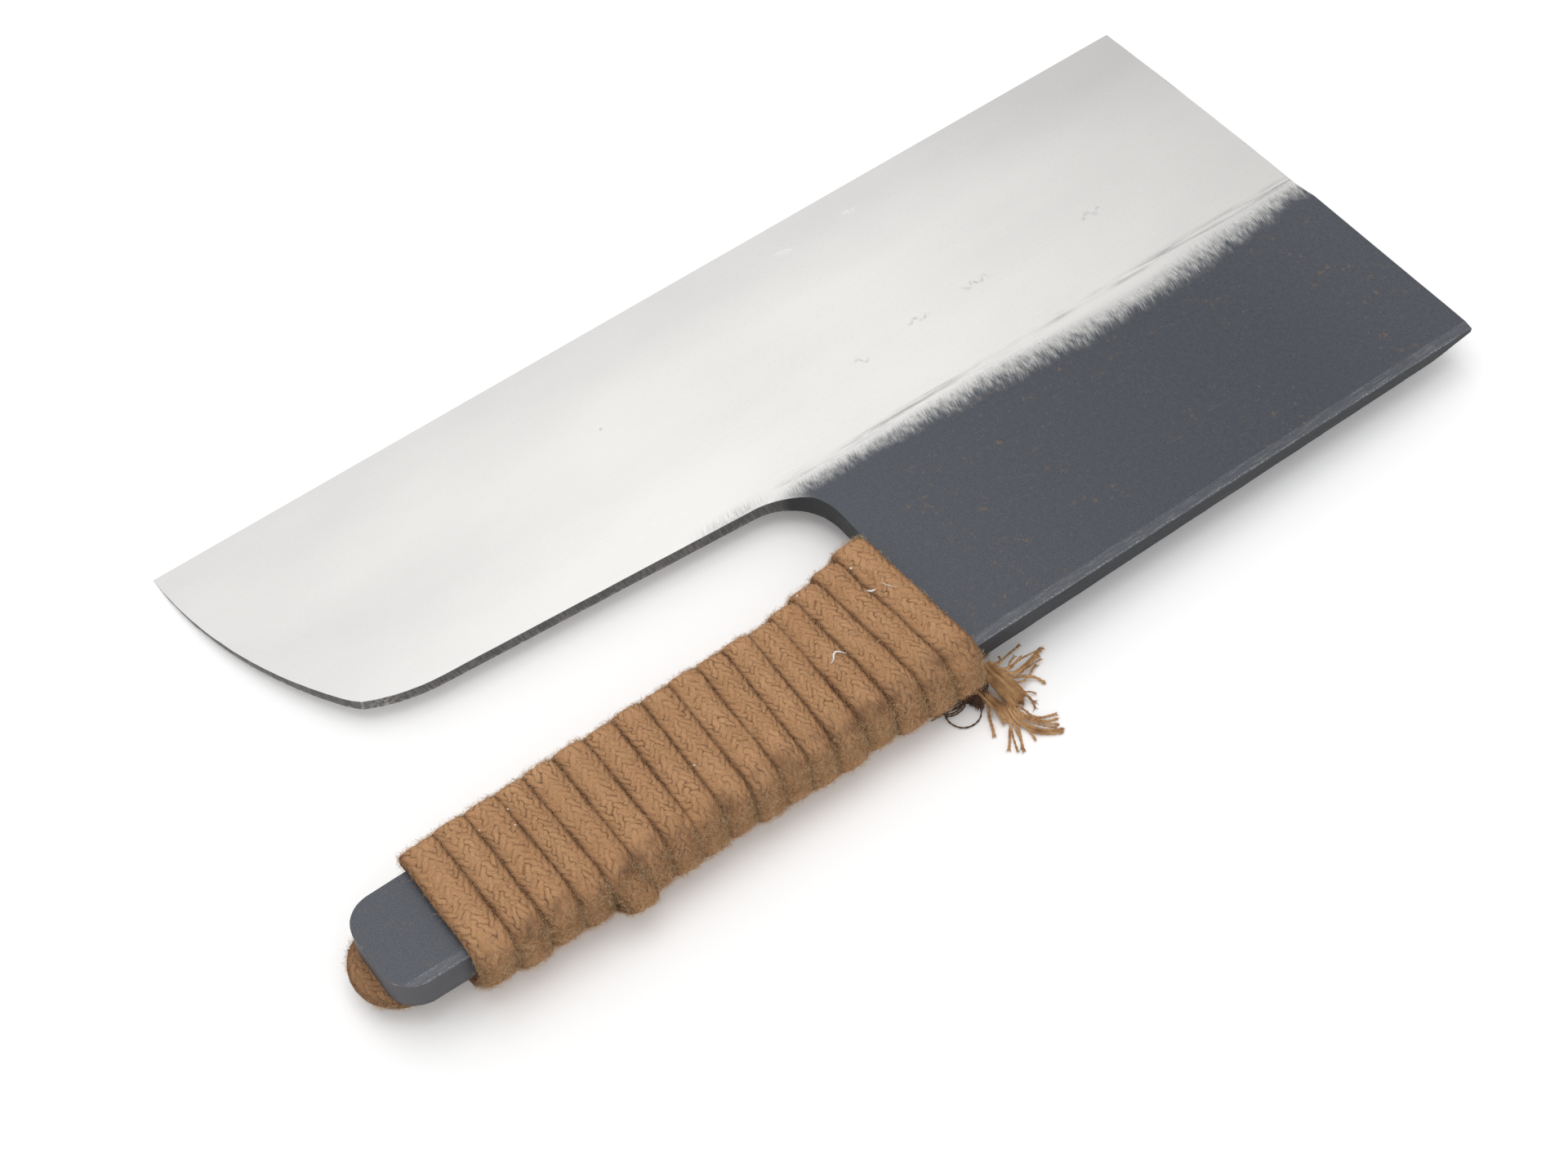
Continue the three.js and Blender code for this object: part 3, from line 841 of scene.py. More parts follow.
@dataclass(frozen=True)
class Braid:
    """Lay of the braid: columns of slanted stitches that lean opposite ways from column to column."""

    columns: int = 10
    stitch_pitch: float = 1.95
    slant: float = 0.9
    yarns: float = 4.0
    relief: float = 0.30
    lay_wander: float = 0.42
    share_wander: float = 0.024
    interlock: float = 0.2
    wander_rate: float = 0.30
    wander_round: float = 1.3
    stitch_thinness: float = 1.8
    column_dip: float = 0.8
    level: float = 0.55

    @property
    def face_share(self) -> float:
        """Share of the girth at the middle of the face, which falls between two columns."""
        return 1.0 / self.columns

    def wander(self, length: float, share: float) -> tuple[float, float]:
        """Uneven lay of the strands.

        Args:
            length: Millimetres along the cord.
            share: Share of the way round.

        Returns:
            Length along the cord in stitches and share of the way round.
        """
        turn, far = TURN * share, self.wander_round
        place = Vector((length * self.wander_rate, far * math.cos(turn), far * math.sin(turn)))
        lay = length / self.stitch_pitch + self.lay_wander * noise.noise(place)
        return lay, share + self.share_wander * noise.noise(place + Vector((40.0, 9.0, 5.0)))

    def crown(self, lay: float, share: float) -> float:
        """Height of the stitch at a place on the cord.

        Args:
            lay: Length along the cord in stitches.
            share: Share of the way round.

        Returns:
            Height from 0 in the gaps to 1 on the stitches.
        """
        girth = share * self.columns
        girth += self.interlock * math.cos(math.pi * girth) * math.cos(TURN * lay)
        column = math.floor(girth)
        along = girth - column
        odd = column % 2
        stitch = lay + (1 - 2 * odd) * self.slant * (share * self.columns - column - 0.5) + 0.5 * odd
        across = stitch - math.floor(stitch) - 0.5
        body = math.sqrt(max(0.0, 1.0 - (self.stitch_thinness * across) ** 2))
        return body * (1.0 - self.column_dip * abs(2.0 * along - 1.0) ** 3)


@dataclass(frozen=True)
class BraidFinish:
    """Matt brown cotton of the braided cord."""

    body: Colour = (0.478, 0.256, 0.126)
    pale: Colour = (0.616, 0.357, 0.188)
    # The gap colour is painted shade between yarns and stitches, and painted shade with dirt in the
    # grooves.
    gap_shade: Colour = (0.095, 0.043, 0.023)
    # Dirt on the shoulders, painted shade on the bight's loop, and the darker spine's side.
    soil_and_shade: Colour = (0.225, 0.122, 0.066)
    relief: float = 0.00026

    def make(self, braid: Braid, form: KnifeForm, pose: KnifePose) -> Material:
        """Finish of the braided cord from its lay, with painted shade and light, darker on the spine's
        side.

        Args:
            braid: The braid's lay.
            form: The knife's sizes.
            pose: Where the knife lies.

        Returns:
            The material.
        """
        graph = NodeGraph.for_material("braided_cotton")
        lay, share, _ = graph.split(graph.node("ShaderNodeUVMap", uv_map=BRAID_UV))
        flat = share * float(braid.columns)
        sway = (flat * math.pi).maths("COSINE") * (lay * TURN).maths("COSINE")
        girth = flat + sway * braid.interlock
        column = girth.maths("FLOOR")
        along = girth - column
        odd = column.maths("FLOORED_MODULO", 2.0)
        stitch = lay + (1.0 - odd * 2.0) * braid.slant * (flat - column - 0.5) + odd * 0.5
        number = stitch.maths("FLOOR")
        across = stitch - number - 0.5
        block = number * 7.13 + column * 3.71

        place_x, depth, height = graph.knife_place(pose)
        place = graph.join(place_x, depth, height)
        fibre = graph.grain(graph.scale(place, 3.2), 3.0, 0.7)
        patch = graph.grain(graph.scale(place, 0.11), 2.0)
        gate = graph.grain(graph.scale(place, 0.6), 2.0, 0.6).step(0.34, 0.62)
        tone = graph.node("ShaderNodeTexWhiteNoise", {"W": block}, noise_dimensions="1D")
        other = graph.node("ShaderNodeTexWhiteNoise", {"W": block + 0.37}, noise_dimensions="1D")
        streak = graph.grain((across * 9.0, along * 1.6, block), 2.0, 0.6)
        yarn = (across * (TURN * braid.yarns) + (fibre - 0.5) * 2.0).maths("COSINE") * 0.5 + 0.5
        seam = abs(across).step(0.27, 0.48) * (other.step(0.1, 0.95) * 0.9 + 0.25)
        slit = abs(along - 0.5).step(0.28, 0.48) * (tone.step(0.1, 0.95) * 0.9 + 0.1)
        off_middle = abs(share - braid.face_share)
        turn_tone = graph.grain((lay * 0.05, 0.0, 3.0), 2.0).step(0.25, 0.75)
        uneven = patch * 0.5 + fibre * 0.6 + gate * 0.2
        # Painted shade and dirt in the grooves between turns, towards the sides of each turn.
        groove_dirt_and_shade = off_middle.step(0.115, 0.215) * uneven * (turn_tone * 0.9 + 0.5)
        # Painted light: the middle of each turn's face is made paler, where light falls on the crest.
        crown = (1.0 - off_middle.step(0.0, 0.11)) * 0.2
        light = yarn * 0.10 + tone * 0.22 + (patch - 0.5) * 0.8 + (fibre - 0.5) * 1.9
        light = light + streak * 0.3 + crown + (0.5 - turn_tone) * 0.35
        colour = graph.mix(light.held(), self.body, self.pale)
        # Painted shade between the yarns.
        colour = graph.mix((1.0 - yarn) ** 3.0 * 0.11, colour, self.gap_shade)
        # Painted shade in the seams and slits, where one strand dives under another.
        dark = (seam * 0.55 + slit * 0.62) * (gate * 0.8 + 0.25) * (fibre * 1.8 + 0.05)
        colour = graph.mix(dark.maths("MINIMUM", 0.85), colour, self.gap_shade)
        colour = graph.mix(groove_dirt_and_shade.maths("MINIMUM", 0.6), colour, self.gap_shade)
        smudge = graph.grain(graph.scale(place, 0.2), 3.0, 0.65).step(0.3, 0.74)
        outward = depth - height * 0.6
        shoulder = outward.band(form.height - 4.0, 5.5) * smudge
        side = outward.step(form.height - 5.0, form.height + 1.0) * (patch * 1.2).held()
        # Painted shade: the bight's loop is darkened towards the butt. The shoulders carry smudges of dirt,
        # and the spine's side is darker.
        loop = 1.0 - place_x.step(form.butt_x + 2.0, form.butt_x + 12.0)
        colour = graph.mix((shoulder * 1.1 + side * 0.2 + loop * 0.4).held(), colour, self.soil_and_shade)
        inputs = {"Base Color": colour, "Roughness": 0.92, "Specular IOR Level": 0.15}
        relief = yarn * 0.25 + fibre * 0.6 + streak * 0.4 - seam * 0.3 - slit * 0.5
        graph.surface(inputs, relief, self.relief)
        return graph.owner


@dataclass(frozen=True)
class PlainCotton:
    """Cotton that varies between two shades in patches, whose size is in millimetres."""

    name: str
    patch_size: float
    body: Colour
    pale: Colour
    through: float = 0.0
    grain_pitch: float = 4.2
    relief: float = 0.00012

    def make(self) -> Material:
        """Makes the finish.

        Returns:
            The material.
        """
        graph = NodeGraph.for_material(self.name)
        place = graph.node("ShaderNodeTexCoord", (), "Object")
        fine = graph.grain(graph.scale(place, self.grain_pitch / MM), 3.0, 0.7)
        patch = graph.grain(graph.scale(place, 1.0 / (self.patch_size * MM)), 2.0)
        share = (patch.step(0.3, 0.7) * 0.8 + (fine - 0.5) * 0.8).held()
        colour = graph.mix(share, self.body, self.pale)
        inputs = {"Base Color": colour, "Roughness": 0.95, "Specular IOR Level": 0.1}
        graph.surface(inputs, fine, self.relief, self.through)
        return graph.owner


LOOSE_COTTON = PlainCotton("loose_cotton", 3.0, (0.36, 0.185, 0.086), (0.66, 0.41, 0.205))
# Darker cotton: partly darker fibres, partly painted shade, for the stub and the yarns under the first
# turn.
DARK_AND_SHADED_COTTON = PlainCotton("dark_cotton_with_painted_shade", 4.0, (0.075, 0.046, 0.034), (0.22, 0.135, 0.085))
# The fuzz is painted paler than the cord, as light that shines through its thin fibres.
FUZZ_COTTON_PAINTED_LIGHT = PlainCotton("cotton_fuzz", 1.4, (0.76, 0.48, 0.25), (1.0, 0.82, 0.55), 0.3)
NAP_COTTON = PlainCotton("cotton_nap", 1.4, (0.49, 0.275, 0.140), (0.66, 0.41, 0.230), 0.3)
WHITE_LINT = PlainCotton("white_lint", 2.0, (0.92, 0.90, 0.87), (0.66, 0.62, 0.58))


# Pieces


def add_piece(
    name: str, shape: BMesh, materials: Sequence[Material], slot: Slot, *nodes: str
) -> Object:
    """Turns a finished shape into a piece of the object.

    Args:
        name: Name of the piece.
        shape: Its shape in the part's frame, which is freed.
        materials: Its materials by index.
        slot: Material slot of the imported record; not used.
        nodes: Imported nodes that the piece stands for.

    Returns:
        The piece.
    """
    mesh = bpy.data.meshes.new(name)
    shape.to_mesh(mesh)
    shape.free()
    for material in materials:
        mesh.materials.append(material)
    piece = bpy.data.objects.new(name, mesh)
    bpy.context.scene.collection.objects.link(piece)
    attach(piece, BODY)
    if nodes:
        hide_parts(*nodes)
    triangles = sum(len(polygon.vertices) - 2 for polygon in mesh.polygons)
    log.info("%s: %d triangles", name, triangles)
    return piece


class OutlinePen:
    """Draws a flat outline vertex by vertex, with x along the edge and y minus the depth, in metres."""

    def __init__(self, shape: BMesh, along: float, depth: float) -> None:
        """Starts at a point.

        Args:
            shape: The shape that is drawn in.
            along: Place along the edge.
            depth: Depth from the edge.
        """
        self.shape = shape
        self.first = shape.verts.new(self.point(along, depth))
        self.last = self.first

    @staticmethod
    def point(along: float, depth: float) -> Vector:
        """Point of the outline in metres."""
        return Vector((along * MM, -depth * MM, 0.0))

    def line(self, along: float, depth: float) -> None:
        """Draws a straight line to a point.

        Args:
            along: Place along the edge.
            depth: Depth from the edge.
        """
        made = bmesh.ops.extrude_vert_indiv(self.shape, verts=[self.last])
        self.last = made["verts"][0]
        self.last.co = self.point(along, depth)

    def arc(self, centre: Vector, angle: float, steps: int) -> None:
        """Draws an arc from the last point.

        Args:
            centre: Centre of the arc in metres.
            angle: Angle that it turns through, anticlockwise from above.
            steps: Number of straight steps.
        """
        made = bmesh.ops.spin(
            self.shape, geom=[self.last], cent=centre, axis=(0.0, 0.0, 1.0), angle=angle, steps=steps
        )
        self.last = made["geom_last"][0]

    def corner(self, corner: Vector, after: Vector, radius: float, steps: int) -> None:
        """Draws up to a rounded corner and round it.

        Args:
            corner: The sharp corner in metres.
            after: The next corner in metres.
            radius: Radius in millimetres.
            steps: Number of straight steps of the arc.
        """
        back = (self.last.co - corner).normalized()
        ahead = (after - corner).normalized()
        half = back.angle(ahead) / 2
        start = corner + back * (radius * MM / math.tan(half))
        self.line(start.x / MM, -start.y / MM)
        centre = corner + (back + ahead).normalized() * (radius * MM / math.sin(half))
        turn = math.copysign(math.pi - 2 * half, ahead.cross(back).z)
        self.arc(centre, turn, steps)

    def close(self) -> None:
        """Closes the outline and fills it."""
        bmesh.ops.remove_doubles(self.shape, verts=self.shape.verts, dist=FINE_MERGE)
        self.shape.verts.ensure_lookup_table()
        bmesh.ops.contextual_create(self.shape, geom=self.shape.edges[:])


@dataclass
class ForgedBlade:
    """The forging: blade, long heel, notch and tang in one piece."""

    form: KnifeForm
    pose: KnifePose
    cut_step: float = 3.0
    arris_width: float = 0.28
    chip_size: float = 0.10
    chip_rate: float = 900.0
    chip_seed: int = 7
    sharp_depth: float = 1.0
    smooth_angle: float = math.radians(17.5)
    chamfer_angle: float = math.radians(8)
    bevel_cuts: tuple[float, ...] = (
        0.02, 0.05, 0.09, 0.14, 0.2, 0.27, 0.35, 0.44, 0.54, 0.65, 0.76, 0.88, 1.0,
    )
    blend_cuts: tuple[float, ...] = (0.15, 0.3, 0.5, 0.7, 0.85, 1.0)
    flat_cuts: tuple[float, ...] = (76.0, 88.0, 96.0)
    front_margin: float = 0.5
    corner_steps: int = 12
    notch_steps: int = 16
    facet_steps: int = 8
    heel_corner_steps: int = 2
    heel_steps: int = 30

    def draw_outline(self, shape: BMesh) -> None:
        """Draws the outline of the forging as one flat face.

        Args:
            shape: The shape that is drawn in.
        """
        form = self.form
        at = OutlinePen.point
        outer_butt = at(form.butt_x, form.outer_depth(form.butt_x))
        inner_butt = at(form.butt_x, form.outer_depth(form.butt_x) - form.butt_width)
        flare = at(form.flare_x, form.inner_side(form.flare_x))
        shoulder = at(form.notch_x, form.shoulder_inner)
        notch = at(form.notch_x, form.heel_back)
        slope = math.tan(form.heel_back_slope)
        heel_back = at(0.0, form.heel_back - slope * form.notch_x)

        pen = OutlinePen(shape, 0.0, 0.0)
        pen.line(form.edge_length, 0.0)
        pen.line(form.edge_length, form.height)
        pen.line(form.notch_x, form.height)
        pen.corner(outer_butt, inner_butt, form.butt_outer_radius, self.corner_steps)
        pen.corner(inner_butt, flare, form.butt_inner_radius, self.corner_steps)
        pen.line(form.flare_x, form.inner_side(form.flare_x))
        pen.corner(shoulder, notch, form.fillet_radius, self.corner_steps)
        pen.corner(notch, heel_back, form.notch_radius, self.notch_steps)

        # The small arc touches the line of the heel's back and, from inside, the heel's large arc.
        large, small = form.heel_radius, form.heel_corner_radius
        rise = form.heel_back - slope * form.notch_x - small / math.cos(form.heel_back_slope)
        square = 1.0 + slope**2
        half_sum = slope * rise - large
        rest = large**2 + rise**2 - (large - small) ** 2
        corner_x = (-half_sum - math.sqrt(half_sum**2 - square * rest)) / square
        corner_depth = rise + slope * corner_x
        bearing = math.atan2(corner_depth, large - corner_x)
        rest_turn = RIGHT - bearing - form.heel_back_slope - form.crease_turn

        # A wider arc takes the place of its first part and meets the rest in a crease.
        bend = small * (1.0 - math.cos(form.crease_turn)) / (1.0 - math.cos(form.facet_bend))
        along_back = Vector((math.cos(form.heel_back_slope), -math.sin(form.heel_back_slope), 0.0))
        off_back = Vector((along_back.y, -along_back.x, 0.0))
        longer = bend * math.sin(form.facet_bend) - small * math.sin(form.crease_turn)
        centre = at(corner_x, corner_depth) + (off_back * (small - bend) + along_back * longer) * MM
        start = centre + off_back * bend * MM
        pen.line(start.x / MM, -start.y / MM)
        pen.arc(centre, -form.facet_bend, self.facet_steps)
        pen.arc(at(corner_x, corner_depth), -rest_turn, self.heel_corner_steps)
        pen.arc(at(large, 0.0), -bearing, self.heel_steps)
        pen.close()

    def cut_face(self, shape: BMesh) -> None:
        """Cuts the flat face into a net that can follow the blade's heights.

        Args:
            shape: The shape that is cut.
        """
        form = self.form
        across = Vector((0.0, 1.0, 0.0))
        cuts = []
        along = form.butt_x + self.cut_step
        while along < form.edge_length - self.front_margin:
            cuts.append((Vector((along * MM, 0.0, 0.0)), Vector((1.0, 0.0, 0.0))))
            along += self.cut_step
        depths = [form.bevel_top * share for share in self.bevel_cuts]
        depths += [form.bevel_top + form.blend_width * share for share in self.blend_cuts]
        depths += [*self.flat_cuts, form.height - form.relief_width, form.height - form.chamfer_width]
        cuts += [(Vector((0.0, -depth * MM, 0.0)), across) for depth in depths]
        tang_line = Vector((form.tang_length, -form.butt_inset, 0.0)).normalized()
        chamfer = Vector((form.butt_x, form.chamfer_width - form.outer_depth(form.butt_x), 0.0)) * MM
        cuts.append((chamfer, Vector((-tang_line.y, tang_line.x, 0.0))))
        for place, normal in cuts:
            geometry = shape.verts[:] + shape.edges[:] + shape.faces[:]
            bmesh.ops.bisect_plane(shape, geom=geometry, dist=MERGE, plane_co=place, plane_no=normal)

    def raise_face(self, shape: BMesh) -> None:
        """Thickens the net and sets the heights of the face and of the back.

        Args:
            shape: The shape that is raised.
        """
        under = shape.faces[:]
        made = bmesh.ops.extrude_face_region(shape, geom=under)["geom"]
        top = {element for element in made if isinstance(element, BMVert)}
        for vert in shape.verts:
            along, depth = vert.co.x / MM, -vert.co.y / MM
            height = self.form.top_height if vert in top else self.form.under_height
            vert.co.z = height(along, depth) * MM
        for face in shape.faces:
            raised = sum(vert in top for vert in face.verts)
            face.smooth = True
            face.material_index = BladeZone.WALL
            if raised == len(face.verts):
                face.material_index = BladeZone.FACE
            elif raised == 0:
                face.material_index = BladeZone.BACK
        bmesh.ops.recalc_face_normals(shape, faces=shape.faces)

    def break_arris(self, shape: BMesh) -> None:
        """Bevels the edges between the faces and the sides and chips them a little.

        Args:
            shape: The shape that is bevelled.
        """
        edges = []
        for edge in shape.edges:
            zones = {face.material_index for face in edge.link_faces}
            depth = -(edge.verts[0].co.y + edge.verts[1].co.y) / 2 / MM
            if BladeZone.WALL in zones and len(zones) == 2 and depth > self.sharp_depth:
                edges.append(edge)
        made = bmesh.ops.bevel(
            shape, geom=edges, offset=self.arris_width * MM, offset_type="OFFSET", affect="EDGES",
            segments=2, profile=0.5, clamp_overlap=True, material=-1,
        )
        for face in made["faces"]:
            face.material_index = BladeZone.ARRIS
        noise.seed_set(self.chip_seed)
        for vert in shape.verts:
            if all(face.material_index == BladeZone.ARRIS for face in vert.link_faces):
                vert.co += noise.noise_vector(vert.co * self.chip_rate) * (self.chip_size * MM)
        for edge in shape.edges:
            zones = {face.material_index for face in edge.link_faces}
            by_chamfer = -edge.verts[0].co.y / MM > self.form.height - self.form.relief_width
            limit = self.chamfer_angle if by_chamfer and zones == {BladeZone.FACE} else self.smooth_angle
            edge.smooth = len(zones) == 1 and edge.calc_face_angle(0.0) < limit

    def build(self) -> Object:
        """Makes the forging.

        Returns:
            The piece.
        """
        shape = bmesh.new()
        self.draw_outline(shape)
        self.cut_face(shape)
        self.raise_face(shape)
        self.break_arris(shape)
        bmesh.ops.transform(shape, matrix=self.pose.matrix, verts=shape.verts)
        return add_piece("forged_blade", shape, self.dress(), Slot.STEEL, "blade")

    def dress(self) -> list[Material]:
        """Finishes by zone."""
        finish = SteelFinish(self.form, self.pose)
        return [finish.face(), finish.wall(), finish.arris(), finish.back()]


# Cord


@dataclass
class Stop:
    """One place on a cord's route, in millimetres in the knife's frame."""

    point: Vector
    normal: Vector
    width: float = 1.0
    thickness: float = 1.0
    roundness: float = 0.0


@dataclass(frozen=True)
class CordLay:
    """How the cord lies on the tang, in millimetres, as measured from the photograph."""

    width: float = 5.65
    thickness: float = 3.0
    seat_gap: float = 0.3
    side_bulge: float = 1.0
    shoulder_round: float = 1.2
    shoulder_gap: float = 0.75
    bight_spacing: float = 11.7
    bight_offset: float = -1.0
    bight_reach: float = 3.5
    start_bend: float = 4.0
    tail_lead: float = 2.0
    inner_grooves: tuple[float, ...] = (
        110.5, 103.1, 97.0, 91.2, 85.6, 79.8, 74.1, 67.9, 61.9,
        55.9, 49.1, 43.0, 36.3, 29.8, 23.8, 17.3, 11.0, 4.0,
    )
    outer_grooves: tuple[float, ...] = (
        111.9, 105.0, 98.6, 92.1, 85.0, 78.7, 72.8, 67.2, 61.0,
        54.4, 48.9, 42.6, 36.2, 30.2, 24.3, 17.4, 11.0, 3.6,
    )
    groove_spacing: float = 6.25
    outer_width: float = 0.995
    outer_roundness: float = 0.5
    crossing: tuple[float, ...] = (0.12, 0.72, 0.84)
    end_reach: Span = (-1.0, 7.0)
    end_size: Span = (0.9, 0.9)
    loop_lead: float = 22.0
    loop_size: Span = (0.92, 1.25)
    hanging_turn: int = 12
    hang: float = 1.9
    hang_lean: float = 1.8
    butt_tuck: float = 1.1
    tucked_turns: int = 4
    hang_spread: Span = (-0.4, 0.4)
    puff_spread: Span = (0.98, 1.1)
    inner_spread: Span = (0.66, 1.06)
    seed: int = 5

    @property
    def seat(self) -> float:
        """Distance of the cord's middle from what it lies on."""
        return self.seat_gap + self.thickness / 2

    @property
    def layer(self) -> float:
        """Height that one layer of cord takes."""
        return self.seat_gap + self.thickness

    def bight_depth(self, form: KnifeForm) -> float:
        """Depth of the middle between the two legs."""
        butt = form.outer_depth(form.butt_x)
        return butt - form.butt_width / 2 + self.bight_offset

    def first_turn(self, form: KnifeForm) -> float:
        """Place of the first turn along the edge."""
        return form.notch_x - self.shoulder_gap - self.width / 2


@dataclass
class CordRoutes:
    """Routes of the winding and the bight."""

    form: KnifeForm
    lay: CordLay
    corner_steps: int = 9
    last_corners: int = 4
    loop_steps: int = 24
    bend_steps: int = 8

    def corners(self, along: float, hang: float) -> list[Corner]:
        """Corners that a turn goes round.

        Args:
            along: Place of the turn.
            hang: How far the turn hangs past the spine's side.

        Returns:
            Depth, height, the normal's first and last angle and the extra radius at each corner.
        """
        form, lay = self.form, self.lay
        half = lay.width / 2
        inner = min(form.inner_depth(along + half / 2), form.inner_depth(along + half) + lay.thickness / 2)
        outer = form.outer_depth(along + half)
        top = form.spine_thickness(along - half)
        leg_outer = lay.bight_depth(form) + lay.bight_spacing / 2 + half
        leg_inner = lay.bight_depth(form) - lay.bight_spacing / 2 - half
        bulge = lay.side_bulge + hang
        easing = lay.shoulder_round
        side = math.atan2(bulge, top)
        outer_slant = math.atan2(leg_outer - outer - bulge, lay.layer)
        inner_slant = -math.pi + math.atan2(leg_inner - inner, lay.layer)
        return [
            (inner, top, math.pi, RIGHT, 0.0),
            (outer - easing, top - easing, RIGHT, side, easing),
            (outer + bulge, 0.0, side, outer_slant, 0.0),
            (leg_outer, -lay.layer, outer_slant, -RIGHT, 0.0),
            (leg_inner, -lay.layer, -RIGHT, inner_slant, 0.0),
            (inner, 0.0, inner_slant, -math.pi, 0.0),
        ]

    def corner_stops(self, along: float, corner: Corner) -> list[Stop]:
        """Stops round one corner.

        Args:
            along: Place of the turn.
            corner: Depth, height, the normal's angles and the extra radius.

        Returns:
            The stops.
        """
        depth, height, start, end, ease_in = corner
        radius = self.lay.seat + ease_in
        stops = []
        for step in range(self.corner_steps):
            angle = lerp(start, end, step / (self.corner_steps - 1))
            normal = Vector((0.0, -math.cos(angle), math.sin(angle)))
            stops.append(Stop(Vector((along, -depth, height)) + normal * radius, normal))
        return stops

    def winding(self) -> list[Stop]:
        """Route of the turns from the shoulder to the butt.

        Returns:
            The stops.
        """
        lay = self.lay
        start_x = lay.first_turn(self.form)
        start_depth = lay.bight_depth(self.form) - lay.bight_spacing / 2 - lay.start_bend - lay.seat_gap
        stops = [Stop(Vector((start_x, -start_depth, -lay.seat)), -UP)]
        depth, height, _, end, _ = self.corners(start_x, 0.0)[-1]
        stops += self.corner_stops(start_x, (depth, height, -RIGHT, end, 0.0))
        inner, outer = lay.inner_grooves, lay.outer_grooves
        turns = len(inner) - 1
        draw, inner_draw = random.Random(lay.seed), random.Random(lay.seed + 1)
        for turn in range(turns):
            first = (inner[turn] + inner[turn + 1]) / 2
            second = (outer[turn] + outer[turn + 1]) / 2
            wide = (inner[turn] - inner[turn + 1] + outer[turn] - outer[turn + 1]) / 2
            last = turn == turns - 1
            after = first - wide if last else (inner[turn + 1] + inner[turn + 2]) / 2
            hang, puff = draw.uniform(*lay.hang_spread), draw.uniform(*lay.puff_spread)
            inner_puff = inner_draw.uniform(*lay.inner_spread)
            hang -= lay.butt_tuck * clamp((turn + 1 + lay.tucked_turns - turns) / lay.tucked_turns)
            lean = 0.0
            if turn == lay.hanging_turn:
                hang, lean = lay.hang, lay.hang_lean
            places = [first, second, second + lean]
            places += [lerp(second, after, share) for share in lay.crossing]
            # Width, thickness and roundness over the tang. Below it the cord is plain.
            sections = (
                (wide / lay.groove_spacing, inner_puff, 0.0),
                (wide / lay.groove_spacing * lay.outer_width, puff, lay.outer_roundness),
                (lay.outer_width, puff, lay.outer_roundness),
            )
            for index, place in enumerate(places[: self.last_corners] if last else places):
                made = self.corner_stops(place, self.corners(place, hang)[index])
                if index < len(sections):
                    for stop in made:
                        stop.width, stop.thickness, stop.roundness = sections[index]
                stops += made
        under = stops[-1].point + Vector((*lay.end_reach, 0.0))
        stops.append(Stop(under, -UP, *lay.end_size))
        return stops

    def leg_stop(self, along: float, depth: float, width: float = 1.0, thickness: float = 1.0) -> Stop:
        """Stop on the bight, which lies against the underside of the tang."""
        return Stop(Vector((along, -depth, -self.lay.seat)), UP, width, thickness)

    def bight(self) -> list[Stop]:
        """Route of the two legs under the turns and the loop past the butt.

        Returns:
            The stops.
        """
        form, lay = self.form, self.lay
        middle, radius = lay.bight_depth(form), lay.bight_spacing / 2
        outer, inner = middle + radius, middle - radius
        loop_x = form.butt_x - lay.bight_reach + lay.width / 2 + radius
        first_x = lay.first_turn(form)
        stops = [self.leg_stop(first_x + lay.width / 2 + lay.tail_lead, outer)]
        stops.append(self.leg_stop(loop_x + lay.loop_lead, outer))
        for step in range(self.loop_steps + 1):
            angle = math.pi * step / self.loop_steps
            along, depth = loop_x - radius * math.sin(angle), middle + radius * math.cos(angle)
            stops.append(self.leg_stop(along, depth, *lay.loop_size))
        stops.append(self.leg_stop(loop_x + lay.loop_lead, inner))
        for step in range(self.bend_steps + 1):
            angle = RIGHT * step / self.bend_steps
            along = first_x - lay.start_bend + lay.start_bend * math.sin(angle)
            stops.append(self.leg_stop(along, inner - lay.start_bend + lay.start_bend * math.cos(angle)))
        return stops


